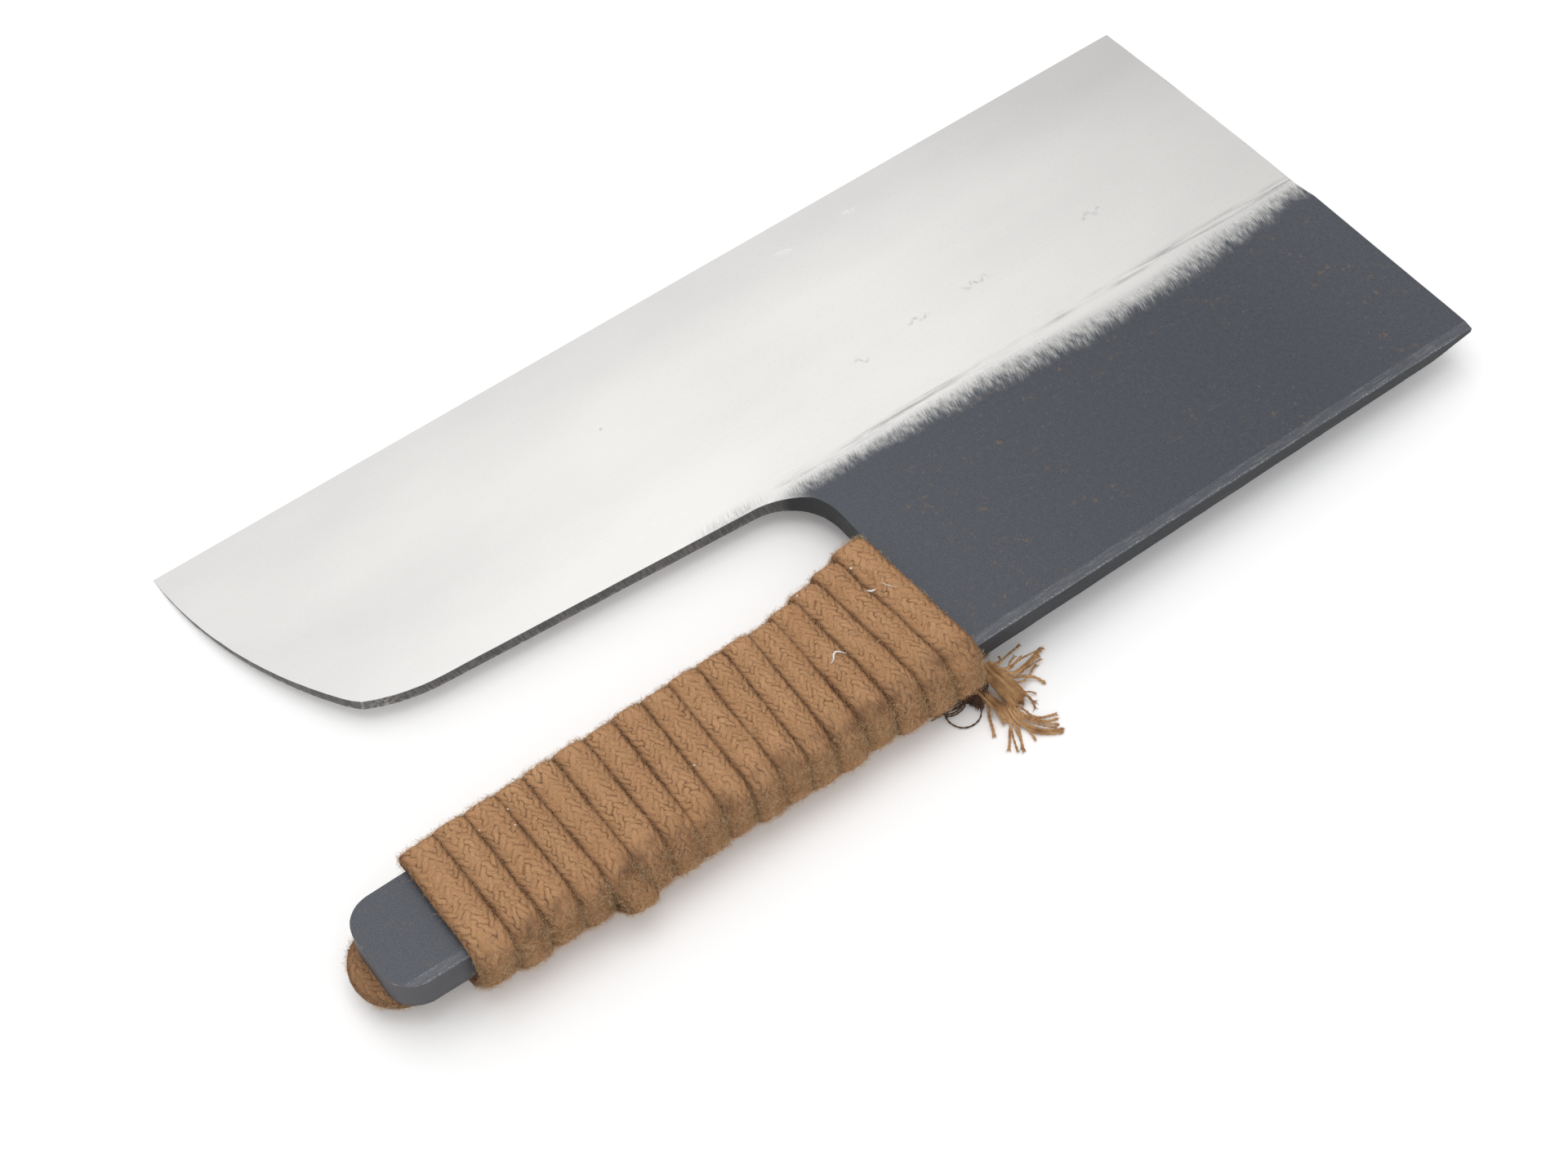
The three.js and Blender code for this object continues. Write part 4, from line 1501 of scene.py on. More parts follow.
@dataclass
class BraidedCord:
    """A braided cord of flattened section drawn along a route."""

    pose: KnifePose
    braid: Braid
    half_width: float = 3.36
    half_thickness: float = 1.6
    squareness: float = 2.9
    round_squareness: float = 2.0
    sides: int = 36
    spacing: float = 0.56
    crowding: float = 0.45
    girth_steps: int = 720
    end_length: float = 1.4
    end_least: float = 0.02
    swell: float = 0.05
    swell_rate: float = 0.11
    stray: float = 0.22
    stray_rate: float = 0.09
    table_gap: float = 0.03

    def resample(self, stops: Sequence[Stop]) -> list[tuple[Stop, Vector, float]]:
        """Even stops along a route, with their directions and lengths.

        Args:
            stops: The route's stops.

        Returns:
            Stop, direction and length along the cord.
        """
        lengths = [0.0]
        for before, after in zip(stops, stops[1:]):
            lengths.append(lengths[-1] + (after.point - before.point).length)
        count = max(2, round(lengths[-1] / self.spacing))
        even, index = [], 0
        for step in range(count + 1):
            length = lengths[-1] * step / count
            while index < len(stops) - 2 and lengths[index + 1] < length:
                index += 1
            before, after = stops[index], stops[index + 1]
            share = (length - lengths[index]) / max(1e-9, lengths[index + 1] - lengths[index])
            even.append(
                Stop(
                    before.point.lerp(after.point, share),
                    before.normal.lerp(after.normal, share).normalized(),
                    lerp(before.width, after.width, share),
                    lerp(before.thickness, after.thickness, share),
                    lerp(before.roundness, after.roundness, share),
                )
            )
        placed = []
        for step, stop in enumerate(even):
            direction = even[min(step + 1, count)].point - even[max(step - 1, 0)].point
            placed.append((stop, direction.normalized(), lengths[-1] * step / count))
        return placed

    def rim(self, angle: float, squareness: float) -> tuple[float, float]:
        """Point on the rim of the section.

        Args:
            angle: Angle of the point.
            squareness: How full the section's corners are, 2 for an oval.

        Returns:
            Across and up.
        """
        power = 2.0 / squareness
        cosine, sine = math.cos(angle), math.sin(angle)
        across = math.copysign(abs(cosine) ** power, cosine) * self.half_width
        return across, math.copysign(abs(sine) ** power, sine) * self.half_thickness

    def section(self, squareness: float) -> list[tuple[float, ...]]:
        """Section of the cord, closer points on the outer half.

        Args:
            squareness: How full its corners are, 2 for an oval.

        Returns:
            Across, up, the outward direction's two parts and the share of the girth at each side.
        """
        fine, steep = self.girth_steps, squareness - 1
        rim = [self.rim(TURN * step / fine, squareness) for step in range(fine + 1)]
        girth = [0.0]
        for here, there in zip(rim, rim[1:]):
            girth.append(girth[-1] + math.dist(here, there))
        points = []
        for side in range(self.sides + 1):
            turn = side / self.sides
            angle = TURN * turn + self.crowding * (math.cos(TURN * turn) - 1.0)
            across, up = self.rim(angle, squareness)
            lean_x = math.copysign(abs(across / self.half_width) ** steep, across) / self.half_width
            lean_y = math.copysign(abs(up / self.half_thickness) ** steep, up) / self.half_thickness
            size = math.hypot(lean_x, lean_y)
            nearest = round((angle % TURN) / TURN * fine)
            share = 1.0 if side == self.sides else girth[nearest] / girth[-1]
            points.append((across, up, lean_x / size, lean_y / size, share))
        return points

    def build(self, name: str, stops: Sequence[Stop], material: Material, *nodes: str) -> Object:
        """Makes the cord.

        Args:
            name: Name of the piece.
            stops: Its route.
            material: Its finish.
            nodes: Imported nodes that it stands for.

        Returns:
            The piece.
        """
        placed = self.resample(stops)
        flat_section, round_section = self.section(self.squareness), self.section(self.round_squareness)
        rings, sides = len(placed), len(flat_section)
        shape = bmesh.new()
        bmesh.ops.create_grid(shape, x_segments=rings - 1, y_segments=sides - 1, size=0.5, calc_uvs=True)
        uv_layer = shape.loops.layers.uv.verify()
        lay_of, share_of = {}, {}
        total = placed[-1][2]
        # The top of the section is a quarter of the way round.
        offset = self.braid.face_share - 0.25
        for vert in shape.verts:
            ring = round((vert.co.x + 0.5) * (rings - 1))
            side = round((vert.co.y + 0.5) * (sides - 1))
            stop, direction, length = placed[ring]
            pairs = zip(flat_section[side], round_section[side])
            across, up, lean_x, lean_y, share = (lerp(*pair, stop.roundness) for pair in pairs)
            sideways = stop.normal.cross(direction).normalized()
            outward = direction.cross(sideways)
            lay, round_share = self.braid.wander(length, share)
            round_share += offset
            from_end = clamp(min(length, total - length) / self.end_length)
            swell = 1.0 + self.swell * noise.noise(Vector((length * self.swell_rate, 3.0, 0.0)))
            stray = self.stray * noise.noise(Vector((length * self.stray_rate, 7.0, 0.0)))
            tip = math.sqrt(clamp(1.0 - (1.0 - from_end) ** 2, self.end_least, 1.0))
            proud = (self.braid.crown(lay, round_share) - self.braid.level) * self.braid.relief
            right = (across * stop.width * swell + lean_x * proud) * tip + stray
            rise = (up * stop.thickness + lean_y * proud) * tip
            vert.co = self.pose.matrix @ ((stop.point + sideways * right + outward * rise) * MM)
            vert.co.z = max(vert.co.z, self.table_gap * MM)
            lay_of[vert], share_of[vert] = lay, round_share
        for face in shape.faces:
            face.smooth = True
            for loop in face.loops:
                loop[uv_layer].uv = (lay_of[loop.vert], share_of[loop.vert])
        bmesh.ops.remove_doubles(shape, verts=shape.verts, dist=MERGE)
        rims = [edge for edge in shape.edges if edge.is_boundary]
        bmesh.ops.holes_fill(shape, edges=rims, sides=0)
        bmesh.ops.recalc_face_normals(shape, faces=shape.faces)
        piece = add_piece(name, shape, [material], Slot.COTTON, *nodes)
        piece.data.uv_layers[0].name = BRAID_UV
        return piece


@dataclass(frozen=True)
class Thread:
    """A thin thread: its points and its radius at each point, in metres."""

    points: Sequence[Vector]
    radii: Sequence[float]


def draw_threads(
    name: str, threads: Sequence[Thread], material: Material, round_steps: int, *nodes: str
) -> Object:
    """Draws thin threads as one piece.

    Args:
        name: Name of the piece.
        threads: The threads.
        material: Finish of the threads.
        round_steps: Fineness of their section.
        nodes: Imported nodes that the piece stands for.

    Returns:
        The piece.
    """
    curve = bpy.data.curves.new(name, "CURVE")
    curve.dimensions = "3D"
    curve.bevel_depth = 1.0
    curve.bevel_resolution = round_steps
    curve.use_fill_caps = True
    for thread in threads:
        spline = curve.splines.new("POLY")
        spline.points.add(len(thread.points) - 1)
        spline.use_smooth = True
        for target, point, radius in zip(spline.points, thread.points, thread.radii):
            target.co = (*point, 1.0)
            target.radius = radius
    drawn = bpy.data.objects.new(name, curve)
    bpy.context.scene.collection.objects.link(drawn)
    mesh = bpy.data.meshes.new_from_object(drawn.evaluated_get(bpy.context.evaluated_depsgraph_get()))
    shape = bmesh.new()
    shape.from_mesh(mesh)
    bpy.data.objects.remove(drawn)
    bpy.data.curves.remove(curve)
    bpy.data.meshes.remove(mesh)
    bmesh.ops.remove_doubles(shape, verts=shape.verts, dist=FINE_MERGE)
    bmesh.ops.recalc_face_normals(shape, faces=shape.faces)
    return add_piece(name, shape, [material], Slot.COTTON, *nodes)


def spline_point(points: Sequence[Vector], share: float) -> Vector:
    """Point on the smooth line through some points.

    Args:
        points: The points.
        share: Share of the way from the first to the last.

    Returns:
        The point.
    """
    run = clamp(share) * (len(points) - 1)
    knot = min(len(points) - 2, int(run))
    part = run - knot
    before, start = points[max(0, knot - 1)], points[knot]
    end, after = points[knot + 1], points[min(len(points) - 1, knot + 2)]
    bend = (before * 2.0 - start * 5.0 + end * 4.0 - after) * part**2
    twist = (start * 3.0 - before - end * 3.0 + after) * part**3
    return start + ((end - before) * part + bend + twist) * 0.5


def level_side(course: Sequence[Vector], share: float, look: float = 0.02) -> Vector:
    """Level direction across a course."""
    ahead = spline_point(course, share + look) - spline_point(course, share - look)
    return Vector((ahead.y, -ahead.x, 0.0)).normalized()


@dataclass(frozen=True)
class Hank:
    """Loose yarns that run together: their course over the table, and how wide they start and end."""

    course: tuple[Place, ...]
    count: int = 1
    widths: Span = (0.0, 0.0)
    spread: float = 0.0
    radius: float = 0.27
    fibres: int = 0

    @property
    def points(self) -> list[Vector]:
        """Course as vectors."""
        return [Vector(place) for place in self.course]

    @property
    def length(self) -> float:
        """Length of the course."""
        return sum(math.dist(start, end) for start, end in zip(self.course, self.course[1:]))


LIT_HANKS = (
    Hank(((114.5, 112.2, 6.4), (114.7, 114.4, 6.0), (115.6, 116.8, 4.6), (116.2, 119.2, 3.0),
         (116.4, 121.0, 1.6)), count=15, widths=(2.6, 4.6), spread=0.16, radius=0.26, fibres=420),
    Hank(((114.7, 112.0, 5.2), (115.0, 114.2, 4.6), (115.6, 116.7, 3.2), (116.0, 119.0, 1.8),
         (115.8, 120.9, 0.9)), count=12, widths=(2.4, 4.0), spread=0.14, radius=0.26, fibres=200),
    Hank(((111.8, 114.6, 3.4), (112.3, 117.1, 2.6), (113.0, 119.7, 1.6), (113.2, 122.0, 0.9)), count=9,
         widths=(1.8, 2.4), spread=0.1, fibres=120),
    Hank(((115.3, 112.5, 5.6), (117.7, 112.7, 5.0), (121.1, 111.7, 3.2), (124.9, 110.9, 1.2)),
         radius=0.32),
    Hank(((115.2, 112.5, 5.8), (116.5, 113.4, 5.6), (117.6, 113.1, 5.6), (118.6, 112.1, 5.0))),
    Hank(((115.8, 113.7, 5.4), (117.8, 114.9, 5.0), (119.5, 114.0, 5.0), (121.4, 113.2, 4.0))),
    Hank(((116.2, 113.9, 5.2), (118.7, 115.1, 4.6), (120.4, 114.4, 4.6), (122.2, 113.5, 3.6))),
    Hank(((115.9, 113.6, 5.0), (118.8, 115.7, 3.8), (122.1, 115.4, 2.8), (125.2, 114.5, 1.8),
         (128.5, 113.4, 0.8)), count=2, widths=(0.8, 0.9), spread=0.2),
    Hank(((116.0, 113.5, 5.2), (118.6, 114.6, 4.4), (121.7, 114.2, 3.4), (124.7, 113.8, 2.2),
         (128.1, 113.6, 1.0))),
    Hank(((116.1, 114.1, 4.8), (119.0, 116.1, 3.4), (121.9, 115.6, 2.6), (124.9, 115.2, 1.6),
         (126.6, 115.1, 0.8)), count=2, widths=(0.8, 0.9), spread=0.1),
    Hank(((116.0, 114.2, 4.6), (118.8, 115.7, 3.6), (121.6, 115.4, 2.6), (124.6, 114.9, 1.8),
         (126.2, 114.2, 1.2))),
    Hank(((116.3, 116.3, 3.8), (119.5, 117.5, 2.2), (121.8, 117.2, 1.4), (123.7, 116.1, 1.0),
         (124.8, 115.5, 0.5))),
    Hank(((116.9, 115.6, 3.8), (119.8, 116.4, 2.4), (121.3, 116.8, 1.6), (122.9, 118.0, 0.9),
         (123.6, 119.7, 0.5)), radius=0.36),
    Hank(((116.3, 118.3, 2.8), (118.6, 119.2, 1.6), (120.0, 119.7, 1.0), (120.9, 120.3, 0.5))),
    Hank(((116.4, 118.8, 2.6), (118.8, 119.9, 1.4), (119.2, 121.0, 0.8), (119.9, 121.7, 0.4))),
    Hank(((116.2, 119.0, 2.4), (118.9, 120.1, 1.4), (119.0, 121.9, 0.8), (118.8, 122.8, 0.4))),
    Hank(((115.3, 119.5, 2.4), (116.6, 122.3, 1.3), (117.1, 123.8, 0.9), (118.4, 125.0, 0.6),
         (119.9, 125.6, 0.5), (121.3, 126.1, 0.4))),
    Hank(((115.1, 119.5, 2.2), (115.7, 122.1, 1.3), (117.0, 124.3, 0.9), (118.5, 126.1, 0.6),
         (120.8, 127.0, 0.4))),
    Hank(((114.9, 119.4, 2.0), (115.1, 122.3, 1.2), (116.3, 124.5, 0.9), (118.1, 126.5, 0.6),
         (120.3, 128.5, 0.4)), count=2, widths=(0.7, 0.9), spread=0.1),
    Hank(((114.4, 119.5, 1.8), (114.1, 122.4, 1.0), (115.0, 124.3, 0.8), (116.5, 126.7, 0.6),
         (118.3, 128.2, 0.5), (120.2, 129.4, 0.4)), count=2, widths=(0.7, 0.7), spread=0.1),
    Hank(((114.3, 120.3, 1.6), (114.2, 123.1, 1.0), (114.9, 125.0, 0.7), (115.8, 126.9, 0.5),
         (117.7, 128.5, 0.4), (119.9, 129.5, 0.4)), count=2, widths=(0.6, 0.8), spread=0.12,
         radius=0.32, fibres=60),
    Hank(((114.7, 120.4, 1.6), (114.7, 123.2, 1.0), (114.6, 124.8, 0.8), (114.7, 126.2, 0.6),
         (114.6, 128.0, 0.4))),
    Hank(((112.8, 117.8, 2.2), (113.3, 120.3, 1.4), (113.1, 122.2, 0.9), (111.8, 123.7, 0.6),
         (110.5, 125.6, 0.4), (109.4, 127.0, 0.4))),
    Hank(((112.8, 117.9, 2.0), (113.1, 120.5, 1.2), (112.8, 122.8, 0.8), (111.5, 125.3, 0.5),
         (110.3, 127.9, 0.4))),
    Hank(((113.1, 118.0, 2.2), (113.6, 120.5, 1.4), (113.3, 122.8, 0.8), (112.7, 124.7, 0.6),
         (112.3, 126.4, 0.4), (111.4, 128.7, 0.4))),
    Hank(((113.4, 118.2, 2.2), (113.9, 120.7, 1.4), (114.0, 123.1, 0.8), (113.2, 125.0, 0.5),
         (112.3, 126.6, 0.4), (111.4, 128.0, 0.4))),
    Hank(((111.8, 115.6, 3.0), (111.9, 117.1, 1.8), (111.0, 118.5, 1.0), (110.3, 119.9, 0.6),
         (109.7, 121.3, 0.5), (108.8, 123.0, 0.4)), radius=0.36, fibres=30),
)
# Yarns that lie in the shadow under the first turn; their finish carries painted shade.
SHADED_DARK_HANKS = (
    Hank(((112.7, 113.4, 5.0), (111.7, 114.1, 4.0), (110.7, 114.9, 2.6), (109.9, 115.3, 1.4),
         (109.3, 115.6, 0.9)), count=14, widths=(3.2, 4.2), spread=0.2, radius=0.32, fibres=80),
    Hank(((104.2, 113.8, 1.4), (104.0, 114.5, 0.6), (104.0, 115.8, 0.4), (104.6, 117.2, 0.4),
         (105.8, 118.2, 0.4), (107.5, 118.5, 0.4), (109.0, 118.2, 0.6), (110.1, 117.3, 0.9),
         (110.5, 116.4, 1.6)), radius=0.22),
    Hank(((113.0, 115.5, 4.6), (111.6, 114.9, 3.6), (110.1, 114.1, 3.0), (108.6, 113.8, 2.6),
         (107.0, 113.7, 2.2)), count=2, widths=(0.6, 0.9), spread=0.1, radius=0.2),
    Hank(((112.6, 115.3, 4.4), (110.9, 114.9, 3.2), (108.8, 114.5, 2.2), (107.6, 115.0, 1.4),
         (105.7, 114.9, 1.0), (103.7, 114.0, 1.2)), count=2, widths=(0.6, 0.9), spread=0.1,
         radius=0.22),
    Hank(((108.9, 114.4, 2.2), (106.8, 114.3, 1.6), (104.8, 113.9, 1.6), (102.8, 113.5, 1.8),
         (100.9, 113.2, 2.0)), count=3, widths=(0.9, 1.2), spread=0.2, radius=0.2, fibres=40),
    Hank(((109.0, 113.9, 2.6), (106.8, 113.6, 2.2), (104.1, 113.4, 2.4), (101.5, 113.0, 2.6)), count=3,
         widths=(0.8, 1.2), spread=0.2, radius=0.2, fibres=40),
)


@dataclass
class FrayedTail:
    """The cord's loose end: a short braided stub that opens into loose yarns on the table."""

    pose: KnifePose
    routes: CordRoutes
    seed: int = 41
    point_spacing: float = 0.5
    least_steps: int = 10
    lift_spread: Span = (-0.4, 0.5)
    sway_spread: Span = (-0.35, 0.35)
    sway_rate: float = 5.0
    radius_spread: Span = (0.85, 1.15)
    ply_pitch: float = 2.1
    ply_size: float = 0.66
    ply_taper: float = 0.8
    ply_apart: float = 0.42
    ply_flatness: float = 0.6
    tip_opening: float = 0.5
    tip_share: float = 0.14
    tip_fibres: int = 8
    fibre_radius: float = 0.026
    fibre_steps: int = 4
    stub_course: tuple[Place, ...] = (
        (-2.0, 0.0, 0.0), (0.0, 0.0, 0.0), (1.3, 0.0, 0.02),
        (2.2, -0.9, 0.2), (2.7, -2.4, 0.5), (3.1, -5.8, 1.0),
    )
    stub_size: Span = (0.8, 1.0)
    stub_end_size: Span = (0.75, 0.9)

    def yarn(self, hank: Hank, lane: float, draw: random.Random) -> list[Thread]:
        """One yarn of two twisted plies that open at its end.

        Args:
            hank: The hank that it belongs to.
            lane: Its place across the hank, from -0.5 to 0.5.
            draw: Source of chance.

        Returns:
            The plies and the fibres at the tip.
        """
        course = hank.points
        reach = 1.0 - hank.spread * draw.random()
        lift = draw.uniform(*self.lift_spread) if hank.count > 1 else 0.0
        sway, phase = draw.uniform(*self.sway_spread), draw.uniform(0.0, 6.3)
        radius = hank.radius * draw.uniform(*self.radius_spread)
        length = hank.length * reach
        steps = max(self.least_steps, round(length / self.point_spacing))
        plies: tuple[list[Vector], list[Vector]] = ([], [])
        for step in range(steps + 1):
            run = step / steps
            share = reach * run
            side = level_side(course, share)
            swing = sway * share * math.sin(phase + self.sway_rate * share)
            place = spline_point(course, share) + side * (lane * lerp(*hank.widths, ease(share)) + swing)
            place.z = max(radius * 1.05, place.z + lift * (1.0 - share))
            turn = phase + TURN * length * run / self.ply_pitch
            at_tip = ease((run - 1.0 + self.tip_share) / self.tip_share)
            opening = self.ply_apart + self.tip_opening * at_tip
            rise = UP * self.ply_flatness * math.sin(turn)
            apart = (side * math.cos(turn) + rise) * (radius * opening)
            for ply, sign in zip(plies, (1.0, -1.0)):
                ply.append(self.pose.on_table(*(place + apart * sign)))
        thickness = radius * self.ply_size * MM
        radii = [thickness * lerp(1.0, self.ply_taper, step / steps) for step in range(steps + 1)]
        threads = [Thread(ply, radii) for ply in plies]
        for ply in plies:
            heading = (ply[-1] - ply[-3]).normalized()
            threads += [self.tip_fibre(ply[-2], heading, draw) for _ in range(self.tip_fibres // 2)]
        return threads

    def tip_fibre(self, root: Vector, heading: Vector, draw: random.Random) -> Thread:
        """A fine fibre that spreads from a yarn's tip.

        Args:
            root: Where it starts.
            heading: Direction of the yarn.
            draw: Source of chance.

        Returns:
            The fibre.
        """
        stray = Vector((draw.uniform(-1, 1), draw.uniform(-1, 1), draw.uniform(-0.3, 0.5)))
        length = draw.uniform(0.4, 1.0) * MM
        middle = root + (heading + stray * 0.15) * length * 0.55
        end = root + (heading + stray * 0.32) * length
        return self.fibre((root, middle, end))

    def fibre(self, points: Sequence[Vector]) -> Thread:
        """A fine fibre, thickest at the middle and held over the table.

        Args:
            points: Points of its course.

        Returns:
            The fibre.
        """
        held = [Vector((point.x, point.y, max(point.z, self.fibre_radius * MM))) for point in points]
        swell = [math.sin(math.pi * step / (len(held) - 1)) for step in range(len(held))]
        return Thread(held, [self.fibre_radius * MM * size for size in swell])

    def combed_fibres(self, hank: Hank, draw: random.Random) -> list[Thread]:
        """Fine fibres that lie along a hank.

        Args:
            hank: The hank.
            draw: Source of chance.

        Returns:
            The fibres.
        """
        course = hank.points
        threads = []
        for _ in range(hank.fibres):
            start, lane = draw.uniform(0.0, 0.75), draw.uniform(-0.55, 0.55)
            reach, lift = draw.uniform(0.15, 0.35), draw.uniform(-0.1, 0.75)
            stray = draw.uniform(-0.8, 0.8)
            points = []
            for step in range(self.fibre_steps + 1):
                share = start + reach * step / self.fibre_steps
                wide = max(0.6, lerp(*hank.widths, ease(share)))
                aside = lane * wide + stray * step / self.fibre_steps
                place = spline_point(course, share) + level_side(course, share) * aside
                points.append(self.pose.on_table(place.x, place.y, place.z + lift))
            threads.append(self.fibre(points))
        return threads

    def build(self, name: str, hanks: Sequence[Hank], material: Material) -> Object:
        """Makes loose yarns.

        Args:
            name: Name of the piece.
            hanks: The hanks that it is made of.
            material: Their finish.

        Returns:
            The piece.
        """
        draw = random.Random(self.seed)
        threads = []
        for hank in hanks:
            for index in range(hank.count):
                lane = (index + 0.5) / hank.count - 0.5 + draw.uniform(-0.3, 0.3) / hank.count
                threads += self.yarn(hank, lane, draw)
            threads += self.combed_fibres(hank, draw)
        return draw_threads(name, threads, material, 1, "cord_tail")

    def stub_stops(self) -> list[Stop]:
        """Route of the braided stub from under the turns down to the table, in the knife's frame.

        Returns:
            The stops.
        """
        lay, form = self.routes.lay, self.routes.form
        root_x = lay.first_turn(form) + lay.width / 2 + lay.tail_lead
        root = self.pose.place(root_x, lay.bight_depth(form) + lay.bight_spacing / 2, -lay.seat)
        back = self.pose.matrix.inverted()
        up = back.to_3x3() @ UP
        rest = lay.thickness / 2
        stops = []
        for right, forward, drop in self.stub_course:
            point = root + Vector((right, forward, 0.0)) * MM
            point.z = lerp(root.z, rest * MM, drop)
            stops.append(Stop((back @ point) / MM, up, *self.stub_size))
        stops[-1].width, stops[-1].thickness = self.stub_end_size
        return stops


@dataclass
class CordFuzz:
    """Fine fibres that stand off the cord, thickest where a turn bends round the tang."""

    name: str
    seed: int
    middle: float
    count: int = 24000
    radius: float = 0.021
    length: Span = (0.5, 2.1)
    lift: Span = (0.15, 0.8)
    flat_share: float = 0.06
    groove_share: float = 0.06
    groove_lean: float = 0.4
    top_lean: float = 0.85
    bend_span: float = 0.7
    under_lean: float = -0.5
    curl: float = 0.6
    short_bias: float = 2.4
    root_shift: float = 0.25

    def share_kept(self, normal: Vector) -> float:
        """Share of the fibres that are kept on a surface.

        Args:
            normal: The surface's normal.

        Returns:
            The share: few on the top and in the grooves, more where a turn bends away.
        """
        if abs(normal.y) < self.groove_lean and normal.z < self.top_lean:
            return self.groove_share
        return lerp(self.flat_share, 1.0, ease((self.top_lean - normal.z) / self.bend_span))

    def outside(self, root: Vector, normal: Vector) -> bool:
        """Tells whether a surface looks away from the tang and not down at the table."""
        faces_out = normal.z > self.bend_span or normal.y * (root.y - self.middle) > 0.0
        return normal.z > self.under_lean and faces_out

    def build(self, cords: Sequence[Object], material: Material) -> Object:
        """Makes the fibres on the given cords.

        Args:
            cords: The cords.
            material: Finish of the fibres.

        Returns:
            The piece.
        """
        draw = random.Random(self.seed)
        roots = []
        for cord in cords:
            for vert in cord.data.vertices:
                root, normal = vert.co.copy(), vert.normal.copy()
                if self.outside(root, normal) and draw.random() < self.share_kept(normal):
                    roots.append((root, normal))
        threads = []
        for root, normal in draw.choices(roots, k=self.count):
            sway = Vector([draw.uniform(-1, 1) for _ in range(3)])
            lie = (sway - normal * sway.dot(normal)).normalized()
            curl = normal.cross(lie) * draw.uniform(-self.curl, self.curl)
            length = lerp(*self.length, draw.random() ** self.short_bias) * MM
            lift = draw.uniform(*self.lift)
            start = root + lie * draw.uniform(-self.root_shift, self.root_shift) * MM
            middle = start + (lie * 0.5 + normal * lift * 0.6) * length
            reach = lie * draw.uniform(0.4, 1.0) + curl + normal * lift * draw.uniform(0.3, 1.0)
            end = start + reach * length
            for point in (start, middle, end):
                point.z = max(point.z, 2 * self.radius * MM)
            threads.append(Thread((start, middle, end), (0.0, self.radius * MM, 0.0)))
        return draw_threads(self.name, threads, material, 0)


@dataclass(frozen=True)
class Fluff:
    """A bit of fluff on top of the winding: its course along the edge and in depth, and its radius."""

    course: tuple[Span, ...]
    radius: float


@dataclass
class CaughtLint:
    """White bits caught on the winding."""

    form: KnifeForm
    pose: KnifePose
    lift: float = 3.72
    steps: int = 10
    bits: tuple[Fluff, ...] = (
        Fluff(
            ((87.7, 100.7), (88.6, 100.4), (89.3, 99.5), (90.0, 99.2), (90.6, 99.6), (91.4, 100.7)), 0.22
        ),
        Fluff(((102.9, 91.6), (103.5, 92.3), (104.4, 92.5)), 0.24),
        Fluff(((103.5, 85.7), (103.9, 86.0)), 0.20),
        Fluff(((106.1, 91.7), (106.8, 93.2), (107.8, 94.5)), 0.06),
        Fluff(((91.8, 84.7), (92.1, 84.9)), 0.16),
        Fluff(((23.8, 90.7), (24.1, 90.9)), 0.16),
        Fluff(((23.1, 94.2), (23.4, 94.4)), 0.14),
        Fluff(((17.5, 91.3), (17.8, 91.5)), 0.14),
        Fluff(((55.2, 103.2), (55.5, 103.5)), 0.18),
    )

    def build(self, material: Material) -> Object:
        """Makes the bits.

        Args:
            material: Their finish.

        Returns:
            The piece.
        """
        threads = []
        shares = [step / self.steps for step in range(self.steps + 1)]
        for bit in self.bits:
            course = [
                self.pose.place(along, depth, self.form.spine_thickness(along) + self.lift)
                for along, depth in bit.course
            ]
            points = [spline_point(course, share) for share in shares]
            radii = [bit.radius * MM * math.sin(math.pi * lerp(0.06, 0.94, share)) for share in shares]
            threads.append(Thread(points, radii))
        return draw_threads("caught_lint", threads, material, 2)


# Studio


@dataclass(frozen=True)
class Softbox:
    """A soft square lamp that faces the object."""

    name: str
    place: Place
    size: float
    power: float

    def build(self) -> None:
        """Hangs the lamp."""
        data = bpy.data.lights.new(self.name, "AREA")
        data.size = self.size
        data.energy = self.power
        lamp = bpy.data.objects.new(self.name, data)
        lamp.location = self.place
        lamp.rotation_euler = (-Vector(self.place)).to_track_quat("-Z", "Y").to_euler()
        bpy.context.scene.collection.objects.link(lamp)


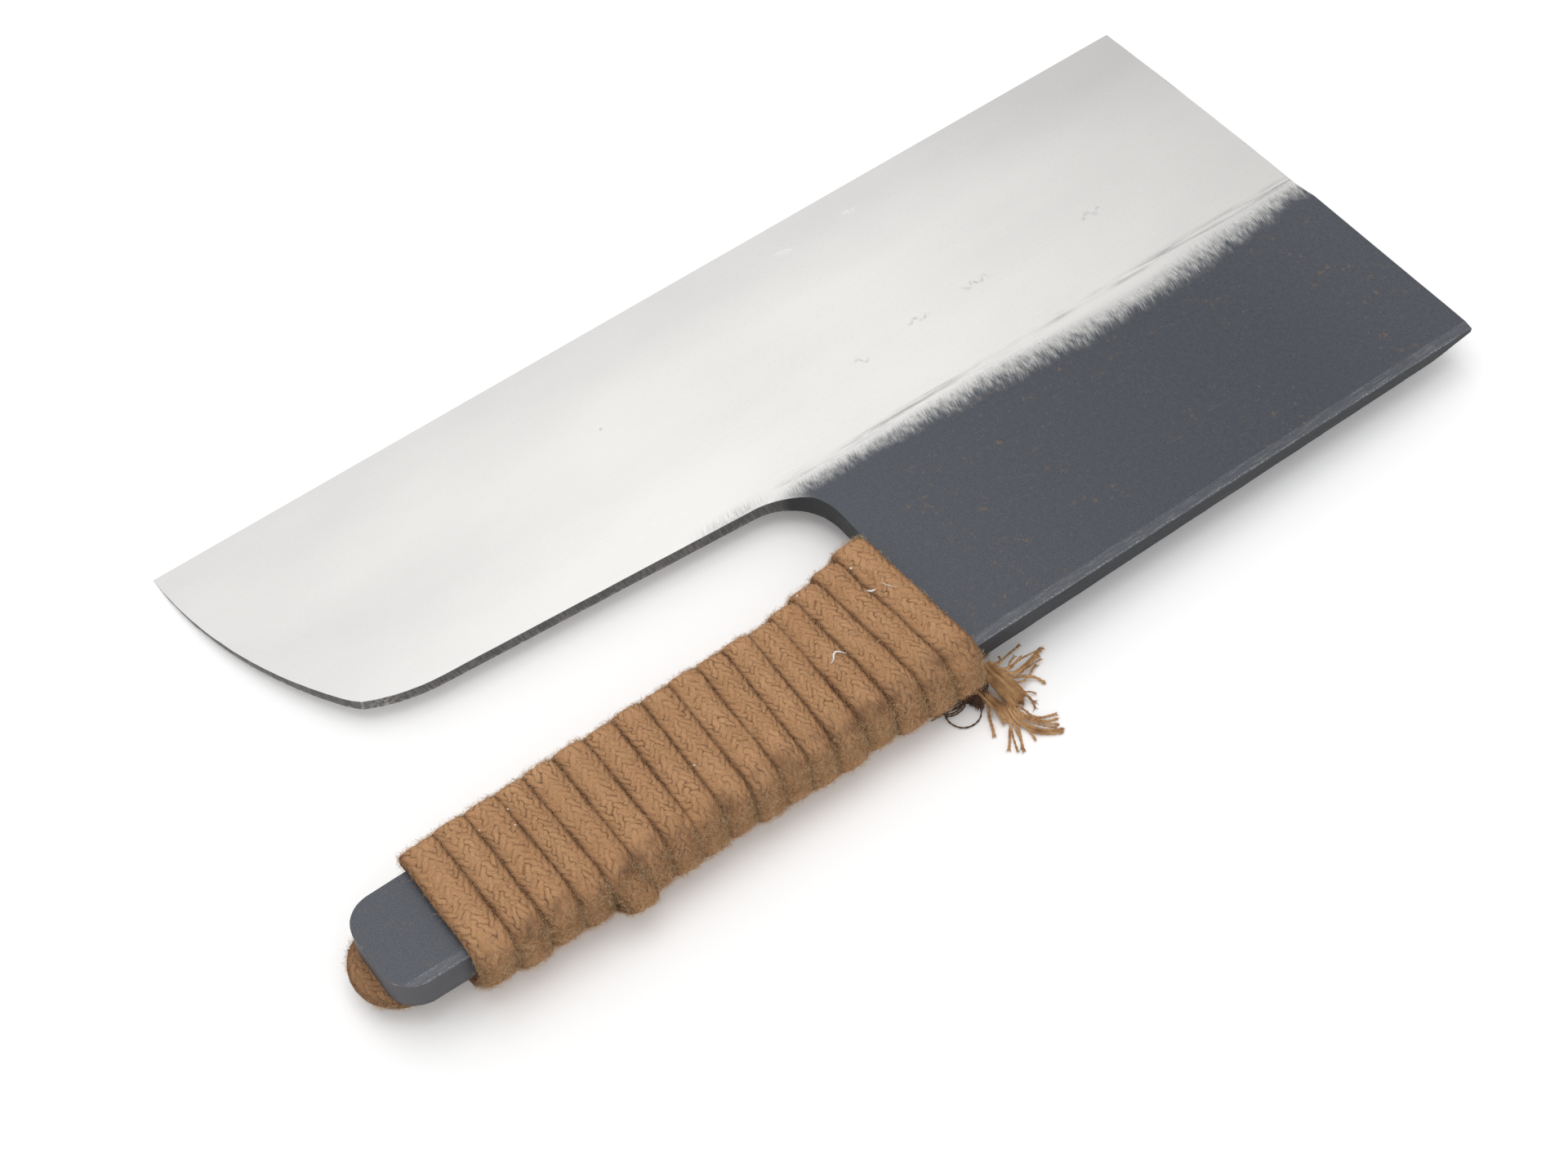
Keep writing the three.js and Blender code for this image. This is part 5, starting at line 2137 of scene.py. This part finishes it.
@dataclass(frozen=True)
class Studio:
    """Camera, white floor and soft light."""

    camera_place: Place = (-0.181683, -0.228271, 0.44092)
    camera_turn: Place = (31.8608, -0.3687, -36.5629)
    lens: float = 61.875
    clip_start: float = 0.01
    floor_size: float = 6.0
    floor_shade: float = 0.98
    floor_glow: float = 0.10
    sky_strength: float = 0.68
    lamps: tuple[Softbox, ...] = (
        Softbox("overhead", (-0.05, 0.12, 1.20), 0.9, 5.0),
        Softbox("behind", (0.15, 0.85, 1.05), 1.3, 1.9),
    )

    def set_camera(self) -> None:
        """Places the camera where the photograph was taken."""
        data = bpy.data.cameras.new("camera")
        data.lens = self.lens
        camera = bpy.data.objects.new("camera", data)
        camera.location = self.camera_place
        camera.rotation_euler = [math.radians(angle) for angle in self.camera_turn]
        data.clip_start = self.clip_start
        bpy.context.scene.collection.objects.link(camera)
        bpy.context.scene.camera = camera

    def set_floor(self) -> None:
        """Lays the floor under the object."""
        shape = bmesh.new()
        bmesh.ops.create_grid(shape, x_segments=1, y_segments=1, size=self.floor_size / 2)
        mesh = bpy.data.meshes.new("floor")
        shape.to_mesh(mesh)
        shape.free()
        graph = NodeGraph.for_material("floor_white")
        seen = graph.node("ShaderNodeLightPath", (), "Is Camera Ray")
        glow = graph.join(*[seen * self.floor_glow] * 3)
        inputs = {"Base Color": (self.floor_shade,) * 3, "Roughness": 0.9, "Specular IOR Level": 0.0}
        graph.surface({**inputs, "Emission Color": glow, "Emission Strength": 1.0})
        mesh.materials.append(graph.owner)
        floor = bpy.data.objects.new("floor", mesh)
        bpy.context.scene.collection.objects.link(floor)

    def set_sky(self) -> None:
        """Makes the sky white to the camera and a little dimmer as a light."""
        world = bpy.data.worlds.new("sky")
        bpy.context.scene.world = world
        graph = NodeGraph(world)
        seen = graph.node("ShaderNodeLightPath", (), "Is Camera Ray")
        strength = graph.node("ShaderNodeMix", {0: seen, 2: self.sky_strength, 3: 1.0})
        sky = graph.node("ShaderNodeBackground", {"Color": (1.0, 1.0, 1.0), "Strength": strength})
        graph.node("ShaderNodeOutputWorld", {"Surface": sky})

    def build(self) -> None:
        """Sets up the whole studio."""
        bpy.context.scene.view_settings.view_transform = "Standard"
        self.set_camera()
        self.set_floor()
        self.set_sky()
        for lamp in self.lamps:
            lamp.build()


def main() -> None:
    """Builds the knife's pieces and the studio."""
    logging.basicConfig(level=logging.INFO)
    form = KnifeForm()
    pose = KnifePose.from_frame(form)
    ForgedBlade(form, pose).build()

    braid = Braid()
    routes = CordRoutes(form, CordLay())
    cord = BraidedCord(pose, braid)
    # The stub and the dark yarns take the dark cotton, which is partly painted shade.
    braided, dark = BraidFinish().make(braid, form, pose), DARK_AND_SHADED_COTTON.make()
    tail = FrayedTail(pose, routes)
    cords = [
        cord.build("braided_winding", routes.winding(), braided, "cord_winding"),
        cord.build("braided_bight", routes.bight(), braided, "cord_bight"),
        cord.build("braided_stub", tail.stub_stops(), dark, "cord_tail"),
    ]
    tail.build("frayed_yarns", LIT_HANKS, LOOSE_COTTON.make())
    tail.build("shaded_dark_yarns", SHADED_DARK_HANKS, dark)
    CaughtLint(form, pose).build(WHITE_LINT.make())
    fuzz = FUZZ_COTTON_PAINTED_LIGHT.make()
    middle = pose.place(form.flare_x, form.height - form.flare_width / 2, 0.0).y
    for seed, name in enumerate(("fuzz_first", "fuzz_second", "fuzz_third", "fuzz_fourth"), 17):
        CordFuzz(name, seed, middle).build(cords, fuzz)
    nap = NAP_COTTON.make()
    lying = {"radius": 0.02, "length": (0.3, 1.1), "lift": (0.02, 0.25)}
    everywhere = {"flat_share": 1.0, "groove_share": 0.8}
    for seed, name in enumerate(("nap_first", "nap_second"), 31):
        CordFuzz(name, seed, middle, **lying, **everywhere).build(cords, nap)
    Studio().build()


if __name__ == "__main__":
    main()
